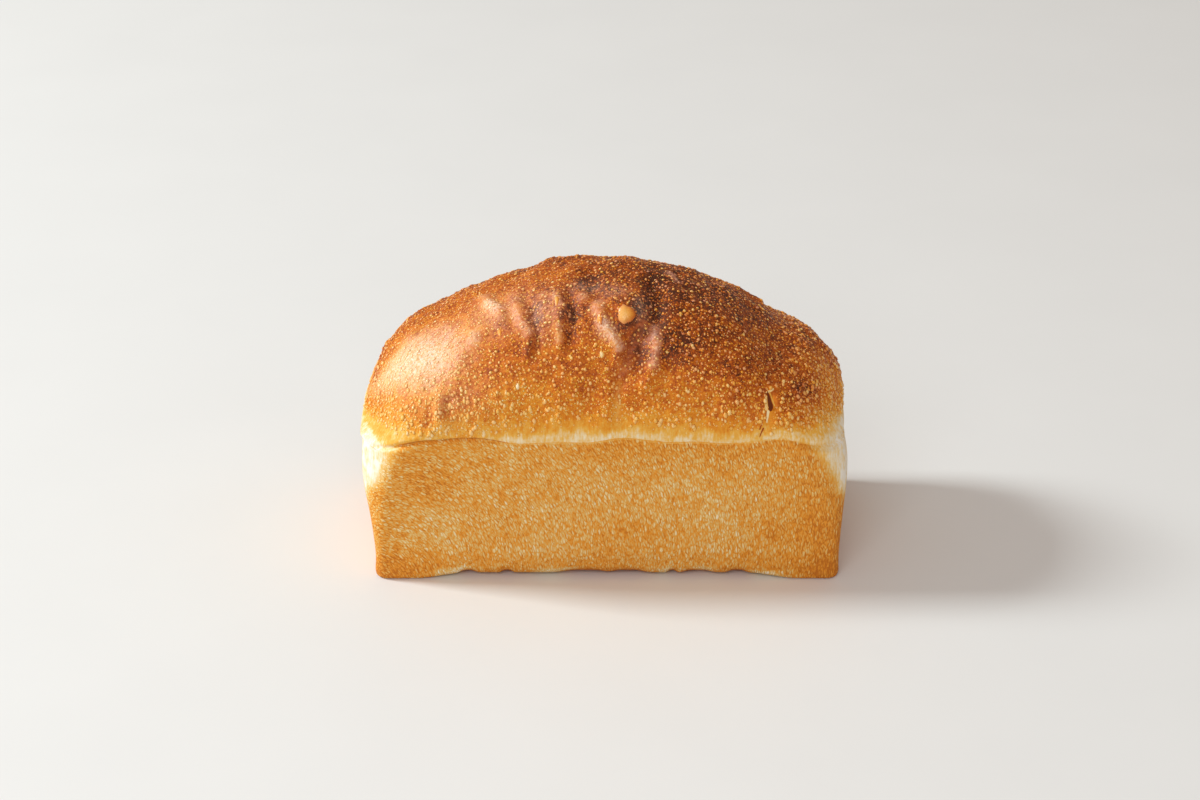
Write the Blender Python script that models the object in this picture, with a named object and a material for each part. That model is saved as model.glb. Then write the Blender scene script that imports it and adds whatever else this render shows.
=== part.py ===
"""Tin loaf: a white loaf baked in an open tin, as one solid.

Metres, +Z up. The origin is on the surface that the loaf stands on, under its middle. The long side
runs along X, and the face that is seen first looks towards -Y. Below the rim the loaf has the tapered
box form of its tin. Above the rim the dough has risen into a crown, whose folds, blisters and lumps
are relief in the one solid.
"""
import math

import bmesh
import bpy
import numpy as np

MM = 0.001

# Driving dimensions of the tin-shaped lower half
FOOT_LENGTH = 0.199
FOOT_WIDTH = 0.091
RIM_LENGTH = 0.2075
RIM_WIDTH = 0.102
RIM_HEIGHT = 0.0685
CORNER_RADIUS_FOOT = 0.005
CORNER_RADIUS_RIM = 0.024
FOOT_EDGE_RADIUS = 0.002
RIM_CORNER_DROP = 0.0055

# Where the rim starts to sink towards its corners and over what run, along and across the loaf
RIM_DROP_ALONG = (0.0726, 0.0249)
RIM_DROP_ACROSS = (0.0102, 0.0316)

# Driving dimensions of the crown: where along the loaf, and how high the ridge is above the rim there
RIDGE_X = (-0.104, -0.088, -0.073, -0.052, -0.026, -0.005, 0.016, 0.031, 0.052, 0.073, 0.088, 0.104)
RIDGE_RISE = (0.017, 0.035, 0.037, 0.046, 0.0557, 0.0585, 0.0573, 0.054, 0.0448, 0.0322, 0.0322, 0.0228)
CROWN_SHOULDER_RADIUS = 0.048
CROWN_SQUARENESS = 2.2
CROWN_SHOULDER_GROWTH = 0.6
CROWN_END_LEAN = 0.20

# Where the ends are drawn in, or out where negative: which end, height, half height and pull in mm
END_PULLS = ((-1, 46, 13, -2.2), (-1, 88, 9, -2.5), (1, 66, 9, 2.4), (1, 88, 9, -2.5))

# The rear half of the ends is drawn in at the rim: pull, height, half height, and where along Y
REAR_PULL = 0.003
REAR_PULL_HEIGHT = 0.064
REAR_PULL_HALF_HEIGHT = 0.013
REAR_PULL_ACROSS = (-0.008, 0.028)

# How far the faces that shrank in the tin are drawn in, and the middle of each foot edge is lifted.
# A pair says where a change starts and over what run, which is negative where it falls.
WALL_PULL = 0.0009
LONG_FACE_FROM = (0.70, 0.15)
END_FACE_FROM = (0.85, 0.10)
FOOT_PULL = 0.0015
FOOT_LIFT = 0.0013
FOOT_LIFT_REACH = 0.014
FOOT_LIFT_ALONG = (0.082, -0.022)
FOOT_LIFT_UP = (0.016, -0.016)
FOOT_MIDDLE_RADIUS = 0.0025
FOOT_MIDDLE_ALONG = (0.080, -0.030)
FLAT_BELOW = 0.00002

# The seam where the crown rolled over the rim of the tin. Its waves: height, length and phase.
SEAM_LIFT = 0.0008
SEAM_WAVES_ALONG = ((0.0011, 0.072, 0.9), (0.0005, 0.031, 0.0))
SEAM_WAVES_ACROSS = ((0.0012, 0.060, 0.4),)
SEAM_DEPTH = 0.0011
SEAM_HALF_WIDTH = 0.0011
SEAM_LEAST = 0.45

# The lip above the seam: its reach out, its fade upwards, and where it is strongest
LIP_OVERHANG = 0.0012
LIP_FADE = 0.006
LIP_EDGE = (0.0, 0.0008)
LIP_ALONG = (-0.045, -0.012)
LIP_ACROSS = (0.010, -0.020)
LIP_LEAST = 0.35

# Low unevenness of the whole crust
LUMP_HEIGHT = 0.0005
LUMP_WAVES = (0.052, 0.037, 0.028, 0.021, 0.016, 0.012)
LUMP_SEED = 11
LUMPS_FROM_FOOT = (0.0, 0.010)
RELIEF_FROM_RIM = (RIM_HEIGHT, 0.004)

# Colours of the crown, of the pale break along the rim and of the faces that touched the tin, and
# how far the break reaches below and above the rim line on the long sides and further at the corners
CROWN_COLOUR = (0.42, 0.14, 0.03)
BREAK_COLOUR = (0.78, 0.56, 0.28)
TIN_FACE_COLOUR = (0.66, 0.33, 0.085)
CROWN_ROUGHNESS, BREAK_ROUGHNESS, TIN_FACE_ROUGHNESS = 0.45, 0.75, 0.60
BREAK_BELOW, BREAK_BELOW_CORNER = 0.0005, 0.016
BREAK_ABOVE, BREAK_ABOVE_CORNER = 0.006, 0.003
BREAK_CORNER_ALONG = (0.080, 0.015)

# Cells of the lattice along X, Y and Z, before the triangles are thinned out
CELLS = (112, 56, 56)
SEAM_CROWDING = 1.5
UNDERSIDE_CROWDING = 1.4
TRIANGLES = 9800

# Folds and ridges of the crown: height in mm (a fold is negative), half width in mm, and the points
# that it runs through, as (x in mm, angle in degrees up the crown from the front rim)
FOLDS = (
    (1.9, 3.0, ((-52, 86), (-47, 74), (-42.5, 64))),
    (-1.2, 2.4, ((-45, 80), (-39.5, 66), (-37.5, 57))),
    (1.7, 2.6, ((-38.5, 70), (-35, 57), (-32.6, 50), (-31.8, 42))),
    (-1.9, 2.0, ((-35, 77), (-32.6, 67), (-30.5, 57), (-29.5, 49), (-30, 41))),
    (1.5, 2.4, ((-22, 69), (-19.5, 61), (-19.7, 52), (-19.3, 43))),
    (-1.5, 2.3, ((-17, 71), (-14.5, 60), (-15, 45))),
    (-1.8, 3.4, ((-7, 88), (-6, 77), (-4, 67))),
    (2.4, 2.6, ((-4, 60), (-1, 50.3), (2, 46.2), (5, 41), (4.8, 36))),
    (0.9, 3.2, ((-2.5, 39), (-5.5, 32))),
    (-2.8, 4.4, ((19, 81), (22, 72), (22, 65), (18.5, 53), (13, 45.5), (9, 40))),
    (1.9, 2.4, ((19.8, 52), (20.2, 43.5), (19.3, 35), (15, 26))),
    (-2.2, 3.6, ((10.5, 42), (8.9, 37), (6, 29))),
    (-1.7, 2.3, ((6, 29), (4.6, 21), (4.4, 12))),
    (1.2, 1.9, ((26.5, 92), (29.5, 84))),
    (-1.3, 3.0, ((31, 95), (32.5, 81))),
    (-1.6, 2.1, ((-65.5, 28), (-65.5, 21))),
    (-1.2, 2.3, ((-73.6, 25), (-73.6, 14))),
    (0.9, 2.0, ((-69.5, 25), (-69.5, 16))),
    (-1.2, 0.9, ((67.4, 35), (69, 25.5))),
    (-0.9, 0.8, ((67.4, 19), (64.2, 8))),
    (1.3, 3.6, ((58, 115), (64, 112))),
    (-1.2, 5.0, ((-38, 150), (-30, 124), (-36, 110))),
    (-1.5, 4.6, ((24, 160), (31, 138), (27, 124))),
    (1.2, 4.2, ((-14, 150), (-10, 130))),
    (1.1, 4.4, ((50, 152), (44, 134))),
)

# Blisters and hollows: height in mm, half sizes along x and up the crown in mm, x in mm, angle
BUMPS = (
    (1.1, 3.0, 5.0, -55.6, 57.5),
    (1.0, 3.2, 3.4, -10.4, 66.7),
    (1.2, 1.5, 2.8, -3.4, 53.5),
    (2.0, 8.0, 9.0, 7.9, 60.5),
    (2.0, 3.5, 4.4, 7.6, 55.2),
    (-1.0, 3.6, 3.6, 24.7, 37.9),
    (-0.9, 3.2, 3.4, -4.9, 33.0),
    (-0.7, 3.6, 3.6, -8.5, 22.5),
    (0.9, 2.0, 2.2, -67.0, 15.5),
    (1.6, 6.0, 12.0, -92.0, 100.0),
    (0.9, 6.0, 8.0, -22.0, 108.0),
    (-0.9, 6.0, 9.0, -40.0, 106.0),
    (0.9, 5.0, 8.0, 64.0, 112.0),
    (-1.2, 5.0, 9.0, 78.0, 108.0),
    (1.6, 3.5, 8.0, 91.5, 97.0),
    (1.0, 4.0, 6.0, 87.0, 112.0),
    (-0.9, 5.0, 8.0, 45.0, 104.0),
    (1.3, 5.0, 5.5, -58.0, 138.0),
    (1.1, 4.0, 4.4, 66.0, 148.0),
)

# Notches under the front foot edge, where the dough didn't fill the tin: x and half width in mm
FOOT_NOTCHES = ((-60, 3.5), (-43, 2.5), (-10, 10), (9, 7), (28, 2), (39, 6), (56, 4))
NOTCH_LIFT = 0.0015


def clear_scene():
    """Remove whatever the file holds."""
    for old in list(bpy.data.objects):
        bpy.data.objects.remove(old, do_unlink=True)


def eased(t):
    """0 below t = 0, 1 above t = 1, and a smooth rise between."""
    t = np.clip(t, 0.0, 1.0)
    return t * t * (3.0 - 2.0 * t)


def ramp(value, start_and_run):
    """A smooth change from 0 at the start to 1 a run further on, either way."""
    start, run = start_and_run
    return eased((value - start) / run)


def waves(along, which):
    """A sum of sine waves, each with its height, length and phase."""
    return sum(height * np.sin(along * 2 * math.pi / length + phase) for height, length, phase in which)


def curve_through(x, knots_x, knots_y):
    """A smooth curve through the knots, read at x: cubic pieces that share their slopes."""
    knots_x, knots_y = np.asarray(knots_x), np.asarray(knots_y)
    x = np.clip(x, knots_x[0], knots_x[-1])
    i = np.clip(np.searchsorted(knots_x, x) - 1, 0, len(knots_x) - 2)
    slope = np.gradient(knots_y, knots_x)
    step = knots_x[i + 1] - knots_x[i]
    t = (x - knots_x[i]) / step
    start = (1 + 2 * t) * (1 - t) ** 2 * knots_y[i] + t * (1 - t) ** 2 * step * slope[i]
    end = t ** 2 * (3 - 2 * t) * knots_y[i + 1] - t ** 2 * (1 - t) * step * slope[i + 1]
    return start + end


def round_corners(x, y, half_x, half_y, radius):
    """Move the points of a rectangle onto the same rectangle with rounded corners."""
    core_x = np.clip(x, radius - half_x, half_x - radius)
    core_y = np.clip(y, radius - half_y, half_y - radius)
    dx, dy = x - core_x, y - core_y
    reach = np.hypot(dx, dy)
    scale = np.where(reach > 1e-9, np.maximum(np.abs(dx), np.abs(dy)) / np.maximum(reach, 1e-9), 1.0)
    return core_x + dx * scale, core_y + dy * scale


def rim_drop(x, y):
    """How far the rim line sinks near the four corners, where the dough rose least."""
    return RIM_CORNER_DROP * ramp(np.abs(x), RIM_DROP_ALONG) * ramp(np.abs(y), RIM_DROP_ACROSS)


def crown_points(a, b, w):
    """The crown: an arch across the loaf, carried along the ridge line and closed by round shoulders."""
    half_x, half_y = RIM_LENGTH / 2, RIM_WIDTH / 2
    arch = (np.abs(b) ** CROWN_SQUARENESS + w ** CROWN_SQUARENESS) ** (1 / CROWN_SQUARENESS)
    arch = np.maximum(arch, 1e-9)
    across, up = b / arch, w / arch
    ring = np.maximum(np.abs(b), w)
    growth = up ** CROWN_SHOULDER_GROWTH
    radius = CORNER_RADIUS_RIM + (CROWN_SHOULDER_RADIUS - CORNER_RADIUS_RIM) * growth
    x, y = round_corners(half_x * a, half_y * ring, half_x, half_y, radius)
    ring = y / half_y
    rise = curve_through(x, RIDGE_X, RIDGE_RISE) * ring * up
    y = half_y * ring * across
    z = RIM_HEIGHT + rise - rim_drop(x, y)
    lean = CROWN_END_LEAN * np.maximum(z - RIM_HEIGHT, 0) / half_x * (np.abs(x) / half_x) ** 4
    return np.stack([x * (1 - lean), y, z], axis=1)


def foot_radius(x):
    """The foot edge is crisp at the corners and rounder along the middle."""
    return FOOT_EDGE_RADIUS + FOOT_MIDDLE_RADIUS * ramp(np.abs(x), FOOT_MIDDLE_ALONG)


def lower_points(a, b, w):
    """The tapered box below the rim, and the underside, with rounded corners and a rounded foot."""
    ring = np.maximum(np.maximum(np.abs(a), np.abs(b)), 1e-9)
    radius = foot_radius(FOOT_LENGTH / 2 * a)
    level = radius + (RIM_HEIGHT - radius) * (1 + w)
    part_up = level / RIM_HEIGHT
    half_x = (FOOT_LENGTH + (RIM_LENGTH - FOOT_LENGTH) * part_up) / 2
    half_y = (FOOT_WIDTH + (RIM_WIDTH - FOOT_WIDTH) * part_up) / 2
    corner = CORNER_RADIUS_FOOT + (CORNER_RADIUS_RIM - CORNER_RADIUS_FOOT) * part_up ** 2
    x, y = round_corners(half_x * a / ring, half_y * b / ring, half_x, half_y, corner)
    underside = w <= -1
    inward = np.where(underside, 1 - (1 - ring) ** UNDERSIDE_CROWDING, 1.0)
    x, y = x * inward, y * inward
    edge_x, edge_y = np.abs(x) - (half_x - corner), np.abs(y) - (half_y - corner)
    outside = np.hypot(np.maximum(edge_x, 0), np.maximum(edge_y, 0))
    inside = corner - outside - np.minimum(np.maximum(edge_x, edge_y), 0)
    short = np.clip(radius - inside, 0, radius)
    turned_under = radius - np.sqrt(np.maximum(radius ** 2 - short ** 2, 0))
    z = np.where(underside, turned_under, level - rim_drop(x, y) * (1 + w) ** 2)
    return np.stack([x, y, z], axis=1)


def crown_angle(points):
    """How far round the crown a point is, in degrees: 0 at the front rim, 90 on the ridge, 180 behind."""
    rise = curve_through(points[:, 0], RIDGE_X, RIDGE_RISE)
    return np.degrees(np.arctan2((points[:, 2] - RIM_HEIGHT) / rise, -points[:, 1] / (RIM_WIDTH / 2)))


def distance_to_path(x, y, path):
    """The distance in the plane from each point to a path of straight stretches."""
    best = np.full(len(x), np.inf)
    for (x0, y0), (x1, y1) in zip(path[:-1], path[1:]):
        run_x, run_y = x1 - x0, y1 - y0
        t = np.clip(((x - x0) * run_x + (y - y0) * run_y) / (run_x ** 2 + run_y ** 2), 0, 1)
        best = np.minimum(best, np.hypot(x - x0 - t * run_x, y - y0 - t * run_y))
    return best


def crown_relief(points):
    """Folds, ridges, blisters and hollows of the crown, as a height along the normal."""
    x, angle = points[:, 0] / MM, crown_angle(points)
    # One degree round the crown is very nearly one millimetre, so the two can be mixed
    relief = np.zeros(len(points))
    for height, width, path in FOLDS:
        relief += height * np.exp(-(distance_to_path(x, angle, path) / width) ** 2)
    for height, width, length, x0, angle0 in BUMPS:
        relief += height * np.exp(-(((x - x0) / width) ** 2 + ((angle - angle0) / length) ** 2) ** 1.5)
    return relief * MM * ramp(points[:, 2], RELIEF_FROM_RIM)


def lumps(points):
    """Low, soft unevenness: a few waves with seeded directions and lengths."""
    draw = np.random.default_rng(LUMP_SEED)
    height = np.zeros(len(points))
    for wavelength in LUMP_WAVES:
        direction = draw.normal(size=3)
        direction *= 2 * math.pi / wavelength / np.linalg.norm(direction)
        height += wavelength * np.sin(points @ direction + draw.uniform(0, 2 * math.pi))
    return LUMP_HEIGHT * height / LUMP_WAVES[0]


def seam_height(points):
    """The height of the seam: a slow wave along the rim line, sinking at the corners."""
    x, y = points[:, 0], points[:, 1]
    wave = waves(x, SEAM_WAVES_ALONG) + waves(y, SEAM_WAVES_ACROSS)
    return RIM_HEIGHT + SEAM_LIFT + wave - rim_drop(x, y)


def seam_relief(points):
    """The groove at the rim and, left of the middle, the lip that the crown rolled over it."""
    off = points[:, 2] - seam_height(points)
    groove = -SEAM_DEPTH * np.exp(-(off / SEAM_HALF_WIDTH) ** 2)
    strong = ramp(points[:, 0], LIP_ALONG) * ramp(points[:, 1], LIP_ACROSS)
    lip = LIP_OVERHANG * np.exp(-np.maximum(off, 0) / LIP_FADE) * ramp(off, LIP_EDGE)
    return groove * (SEAM_LEAST + (1 - SEAM_LEAST) * strong) + lip * (LIP_LEAST + (1 - LIP_LEAST) * strong)


def pull_ends(points):
    """Draw the ends in or out by bell curves of the height, and their rear half in at the rim."""
    x, y, z = points.T
    last = (np.abs(x) / (RIM_LENGTH / 2)) ** 8
    pull = REAR_PULL * np.exp(-((z - REAR_PULL_HEIGHT) / REAR_PULL_HALF_HEIGHT) ** 2)
    pull = pull * ramp(y, REAR_PULL_ACROSS)
    for end, height, half_height, depth in END_PULLS:
        pull = pull + (x * end > 0) * depth * MM * np.exp(-((z / MM - height) / half_height) ** 2)
    points[:, 0] -= np.sign(x) * last * pull


def wall_relief(points):
    """The flat faces drawn in a little between the rim, the foot and the corners."""
    up = np.clip(points[:, 2] / RIM_HEIGHT, 0, 1)
    along = np.abs(points[:, 0]) / (RIM_LENGTH / 2)
    across = np.abs(points[:, 1]) / (RIM_WIDTH / 2)
    long_face = (1 - along ** 4) * ramp(across, LONG_FACE_FROM)
    end_face = (1 - across ** 4) * ramp(along, END_FACE_FROM)
    return -WALL_PULL * np.sin(math.pi * up) * np.clip(long_face + end_face, 0, 1)


def shape_foot(points):
    """Draw in and lift the middle of the long foot edges, with a notch where the tin wasn't filled."""
    x, y, z = points.T
    middle = ramp(np.abs(x), FOOT_LIFT_ALONG)
    near_edge = ramp(np.abs(y), (FOOT_WIDTH / 2 - FOOT_LIFT_REACH, FOOT_LIFT_REACH))
    low = ramp(z, FOOT_LIFT_UP)
    lift = FOOT_LIFT * middle
    side = np.where(y < 0, 1, -1)
    for centre, half_width in FOOT_NOTCHES:
        lift = lift + NOTCH_LIFT * np.exp(-((side * x / MM - centre) / half_width) ** 4)
    points[:, 1] -= np.sign(y) * FOOT_PULL * middle * low * near_edge
    points[:, 2] += lift * low * near_edge ** 2


def lattice_box():
    """A cube from -1 to 1 whose faces are cut into an even lattice of cells."""
    bm = bmesh.new()
    bmesh.ops.create_cube(bm, size=2.0)
    for axis, cells in enumerate(CELLS):
        along = [e for e in bm.edges if abs(e.verts[0].co[axis] - e.verts[1].co[axis]) > 1.0]
        bmesh.ops.subdivide_edges(bm, edges=along, cuts=cells - 1, use_grid_fill=True)
    mesh = bpy.data.meshes.new("loaf")
    bm.to_mesh(mesh)
    bm.free()
    return mesh


def read_vectors(mesh, name):
    """The mesh's vertex positions or normals as an array with a row for each vertex."""
    values = np.empty(len(mesh.vertices) * 3)
    mesh.vertices.foreach_get(name, values)
    return values.reshape(-1, 3)


def write_positions(mesh, points):
    """Move the mesh's vertices to the given points."""
    mesh.vertices.foreach_set("co", points.ravel())
    mesh.update()


def shape_loaf(mesh):
    """Bend the lattice into the loaf, then raise its relief along the normals."""
    a, b, w = read_vectors(mesh, "co").T
    w = np.sign(w) * np.abs(w) ** SEAM_CROWDING
    in_crown = w > 0
    points = np.where(in_crown[:, None], crown_points(a, b, np.maximum(w, 0)), lower_points(a, b, w))
    write_positions(mesh, points)
    normals = read_vectors(mesh, "normal")
    relief = lumps(points) * ramp(points[:, 2], LUMPS_FROM_FOOT)
    relief += np.where(in_crown, crown_relief(points), 0.0)
    relief += np.where(w > -1, seam_relief(points) + wall_relief(points), 0.0)
    points = points + normals * relief[:, None]
    pull_ends(points)
    shape_foot(points)
    points[:, 2] = np.where(points[:, 2] < FLAT_BELOW, 0.0, points[:, 2])
    centre = (points.max(axis=0) + points.min(axis=0)) / 2
    points[:, :2] -= centre[:2]
    write_positions(mesh, points)


def crust_material(name, colour, roughness):
    """One Principled material."""
    material = bpy.data.materials.new(name)
    material.use_nodes = True
    shader = material.node_tree.nodes["Principled BSDF"]
    shader.inputs["Base Color"].default_value = (*colour, 1.0)
    shader.inputs["Roughness"].default_value = roughness
    shader.inputs["Metallic"].default_value = 0.0
    material.diffuse_color = (*colour, 1.0)
    return material


def colour_faces(mesh):
    """Brown crown, pale break along the rim, golden faces where the loaf touched the tin."""
    mesh.materials.append(crust_material("crown_crust", CROWN_COLOUR, CROWN_ROUGHNESS))
    mesh.materials.append(crust_material("pale_break", BREAK_COLOUR, BREAK_ROUGHNESS))
    mesh.materials.append(crust_material("tin_crust", TIN_FACE_COLOUR, TIN_FACE_ROUGHNESS))
    centres = np.empty(len(mesh.polygons) * 3)
    mesh.polygons.foreach_get("center", centres)
    centres = centres.reshape(-1, 3)
    off = centres[:, 2] - RIM_HEIGHT + rim_drop(centres[:, 0], centres[:, 1])
    corner = ramp(np.abs(centres[:, 0]), BREAK_CORNER_ALONG)
    slots = np.full(len(centres), 2)
    slots[off > -BREAK_BELOW - BREAK_BELOW_CORNER * corner] = 1
    slots[off > BREAK_ABOVE + BREAK_ABOVE_CORNER * corner] = 0
    mesh.polygons.foreach_set("material_index", slots.astype(np.int32))


def build_loaf():
    """The one sub-part: the loaf, with its triangles thinned out where the crust is plain."""
    mesh = lattice_box()
    shape_loaf(mesh)
    colour_faces(mesh)
    mesh.shade_smooth()
    loaf = bpy.data.objects.new("loaf", mesh)
    bpy.context.scene.collection.objects.link(loaf)
    thin = loaf.modifiers.new("fewer triangles", "DECIMATE")
    thin.decimate_type = "COLLAPSE"
    thin.ratio = TRIANGLES / (2 * len(mesh.polygons))
    return loaf


clear_scene()
build_loaf()
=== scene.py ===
"""Looks of the tin loaf: its crust, its blisters and the light it stands in.

Metres, +Z up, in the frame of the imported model. The long side runs along X and the shown face looks
towards -Y. One skin stands for the loaf's solid. It has the form of the solid, with finer relief and
with attributes that say how far each spot is baked. Blisters of the crown are domes of their own.
"""

import logging
import math
from dataclasses import dataclass, field
from enum import Enum

import bpy
import numpy as np
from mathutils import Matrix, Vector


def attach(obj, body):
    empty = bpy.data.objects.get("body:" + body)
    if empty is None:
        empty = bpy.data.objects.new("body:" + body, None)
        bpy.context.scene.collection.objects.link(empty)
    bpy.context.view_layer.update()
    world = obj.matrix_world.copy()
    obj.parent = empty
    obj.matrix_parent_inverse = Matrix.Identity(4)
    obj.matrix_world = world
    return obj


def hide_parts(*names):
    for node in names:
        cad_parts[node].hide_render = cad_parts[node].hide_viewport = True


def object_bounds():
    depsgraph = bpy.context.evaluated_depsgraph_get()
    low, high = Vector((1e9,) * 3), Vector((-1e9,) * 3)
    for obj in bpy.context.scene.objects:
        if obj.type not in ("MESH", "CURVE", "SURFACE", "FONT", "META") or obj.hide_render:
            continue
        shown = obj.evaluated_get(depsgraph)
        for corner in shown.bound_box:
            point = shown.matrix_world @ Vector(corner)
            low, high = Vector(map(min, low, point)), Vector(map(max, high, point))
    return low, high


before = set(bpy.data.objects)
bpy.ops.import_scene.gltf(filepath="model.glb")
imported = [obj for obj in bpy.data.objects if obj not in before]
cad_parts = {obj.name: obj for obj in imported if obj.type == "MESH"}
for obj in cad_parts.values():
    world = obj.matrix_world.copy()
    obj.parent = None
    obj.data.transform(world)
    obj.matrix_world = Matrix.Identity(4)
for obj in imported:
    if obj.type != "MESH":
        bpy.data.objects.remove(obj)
CAD_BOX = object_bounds()

LOG = logging.getLogger("tin_loaf")
MM = 0.001
NODE = "loaf"
BODY = "root"
CRUST_IOR = 1.45

Array = np.ndarray


class Face(Enum):
    """The ways that the sides of the loaf look."""

    FRONT = -1.0
    BACK = 1.0


def eased(t: Array) -> Array:
    """A smooth step: 0 below t = 0, 1 above t = 1, and 3t^2 - 2t^3 between.

    Args:
        t: Where along the step each value lies.

    Returns:
        The step's height for each value.
    """
    t = np.clip(t, 0.0, 1.0)
    return t * t * (3.0 - 2.0 * t)


def rising(value: Array, start: float, length: float) -> Array:
    """A smooth step from 0 at the start to 1 a length above it."""
    return eased((value - start) / length)


def falling(value: Array, end: float, length: float) -> Array:
    """A smooth step from 1 a length below the end to 0 at the end."""
    return eased((end - value) / length)


@dataclass(frozen=True)
class Step:
    """A smooth step: where it starts if it rises, or ends if it falls, and its length."""

    at: float
    length: float

    def up(self, value: Array) -> Array:
        """0 where the step starts and 1 a length above."""
        return rising(value, self.at, self.length)

    def down(self, value: Array) -> Array:
        """1 a length below where the step ends, and 0 there."""
        return falling(value, self.at, self.length)


def curve_through(x: Array, knots_x: tuple, knots_y: tuple) -> Array:
    """A smooth curve through knots: on each stretch a cubic whose end slopes its neighbours share.

    Args:
        x: Where to read the curve.
        knots_x: Where the knots are, rising.
        knots_y: The curve's height at each knot.

    Returns:
        The height of the curve at x.
    """
    kx, ky = np.asarray(knots_x), np.asarray(knots_y)
    x = np.clip(x, kx[0], kx[-1])
    i = np.clip(np.searchsorted(kx, x) - 1, 0, len(kx) - 2)
    slope = np.gradient(ky, kx)
    step = kx[i + 1] - kx[i]
    t = (x - kx[i]) / step
    start = (1 + 2 * t) * (1 - t) ** 2 * ky[i] + t * (1 - t) ** 2 * step * slope[i]
    end = t ** 2 * (3 - 2 * t) * ky[i + 1] - t ** 2 * (1 - t) * step * slope[i + 1]
    return start + end


def hashed(cells: Array, seed: int) -> Array:
    """A repeatable number from 0 to 1 for each whole-numbered cell: its three indices are multiplied
    by large odd numbers, added and mixed by shifts.

    Args:
        cells: Whole numbers, one row of three for each cell.
        seed: Which set of numbers to give.

    Returns:
        One number for each row.
    """
    c = cells.astype(np.int64)
    h = (c[:, 0] * 374761393 + c[:, 1] * 668265263 + c[:, 2] * 1440662683 + seed * 1274126177)
    h &= 0xFFFFFFFF
    h = ((h ^ (h >> 13)) * 1274126177) & 0xFFFFFFFF
    h = ((h ^ (h >> 16)) * 2246822519) & 0xFFFFFFFF
    return ((h ^ (h >> 15)) & 0xFFFFFF) / float(0x1000000)


def soft_noise(points: Array, cell: float, seed: int) -> Array:
    """Value noise from -1 to 1: each corner of a cubic cell has a number of its own, and they are
    blended by smooth steps along the three axes.

    Args:
        points: Places, one row each.
        cell: The size of a cell, in the points' own unit.
        seed: Which noise.

    Returns:
        The noise at each place.
    """
    scaled = points / cell
    base = np.floor(scaled)
    part = eased(scaled - base)
    total = np.zeros(len(points))
    for corner in np.ndindex(2, 2, 2):
        weight = np.ones(len(points))
        for axis in range(3):
            weight = weight * (part[:, axis] if corner[axis] else 1 - part[:, axis])
        total += weight * hashed(base + np.array(corner), seed)
    return total * 2 - 1


def layered_noise(points: Array, cell: float, seed: int, layers: int = 3) -> Array:
    """Soft noise in layers, each with half the cell and half the height of the one before.

    Args:
        points: Places, one row each.
        cell: The cell of the first layer.
        seed: Which noise.
        layers: How many layers.

    Returns:
        About -1 to 1 for each place.
    """
    total, reach = np.zeros(len(points)), 0.0
    for layer in range(layers):
        share = 0.5 ** layer
        total += share * soft_noise(points, cell * share, seed + layer)
        reach += share
    return total / reach


@dataclass(frozen=True)
class Unevenness:
    """Layered noise of a set height: its first cell in metres, its seed, and a scale for the third
    coordinate, which draws it out upwards where it is under 1."""

    height: float
    cell: float
    seed: int
    upwards: float = 1.0

    def at(self, points: Array) -> Array:
        """The unevenness at each place."""
        return self.height * layered_noise(points * np.array([1, 1, self.upwards]), self.cell, self.seed)


def cell_bumps(points: Array, cell: float, seed: int, fill: float) -> Array:
    """Scattered round bumps from 0 to 1: each cubic cell holds one centre, off its middle by a random
    amount and with a random radius, and a bump is one minus the squared distance over the radius.

    Args:
        points: Places, one row each.
        cell: The size of a cell.
        seed: Which scatter.
        fill: The share of the cells that hold a bump.

    Returns:
        The height of the highest bump at each place.
    """
    scaled = points / cell
    base = np.floor(scaled)
    best = np.zeros(len(points))
    for offset in np.ndindex(3, 3, 3):
        near = base + np.array(offset) - 1
        centre = near + np.stack([hashed(near, seed + k) for k in range(3)], axis=1)
        radius = 0.35 + 0.45 * hashed(near, seed + 3)
        gap = ((scaled - centre) ** 2).sum(axis=1)
        bump = np.clip(1 - gap / radius ** 2, 0, 1) * (hashed(near, seed + 4) < fill)
        best = np.maximum(best, bump * (0.5 + 0.5 * hashed(near, seed + 5)))
    return best


def distance_to_path(x: Array, y: Array, path: tuple) -> Array:
    """The distance in the plane to a path of straight stretches: for each stretch the foot of the
    perpendicular, kept between its ends, and the nearest of them all.

    Args:
        x: First coordinate of each point.
        y: Second coordinate of each point.
        path: The corners of the path, as pairs.

    Returns:
        The distance of each point.
    """
    best = np.full(len(x), np.inf)
    for (x0, y0), (x1, y1) in zip(path[:-1], path[1:]):
        run_x, run_y = x1 - x0, y1 - y0
        t = np.clip(((x - x0) * run_x + (y - y0) * run_y) / (run_x ** 2 + run_y ** 2), 0, 1)
        best = np.minimum(best, np.hypot(x - x0 - t * run_x, y - y0 - t * run_y))
    return best


def round_corners(x: Array, y: Array, half_x: Array, half_y: Array, radius: Array) -> tuple:
    """Move the points of a rectangle onto one with rounded corners: each keeps its nearest point in the
    rectangle inside, and its way out from there is shortened to the same reach in all directions.

    Args:
        x: First coordinate of each point.
        y: Second coordinate of each point.
        half_x: Half the rectangle's length.
        half_y: Half its width.
        radius: The corner radius.

    Returns:
        The new x and y.
    """
    core_x = np.clip(x, radius - half_x, half_x - radius)
    core_y = np.clip(y, radius - half_y, half_y - radius)
    dx, dy = x - core_x, y - core_y
    reach = np.hypot(dx, dy)
    scale = np.where(reach > 1e-9, np.maximum(np.abs(dx), np.abs(dy)) / np.maximum(reach, 1e-9), 1.0)
    return core_x + dx * scale, core_y + dy * scale


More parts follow.
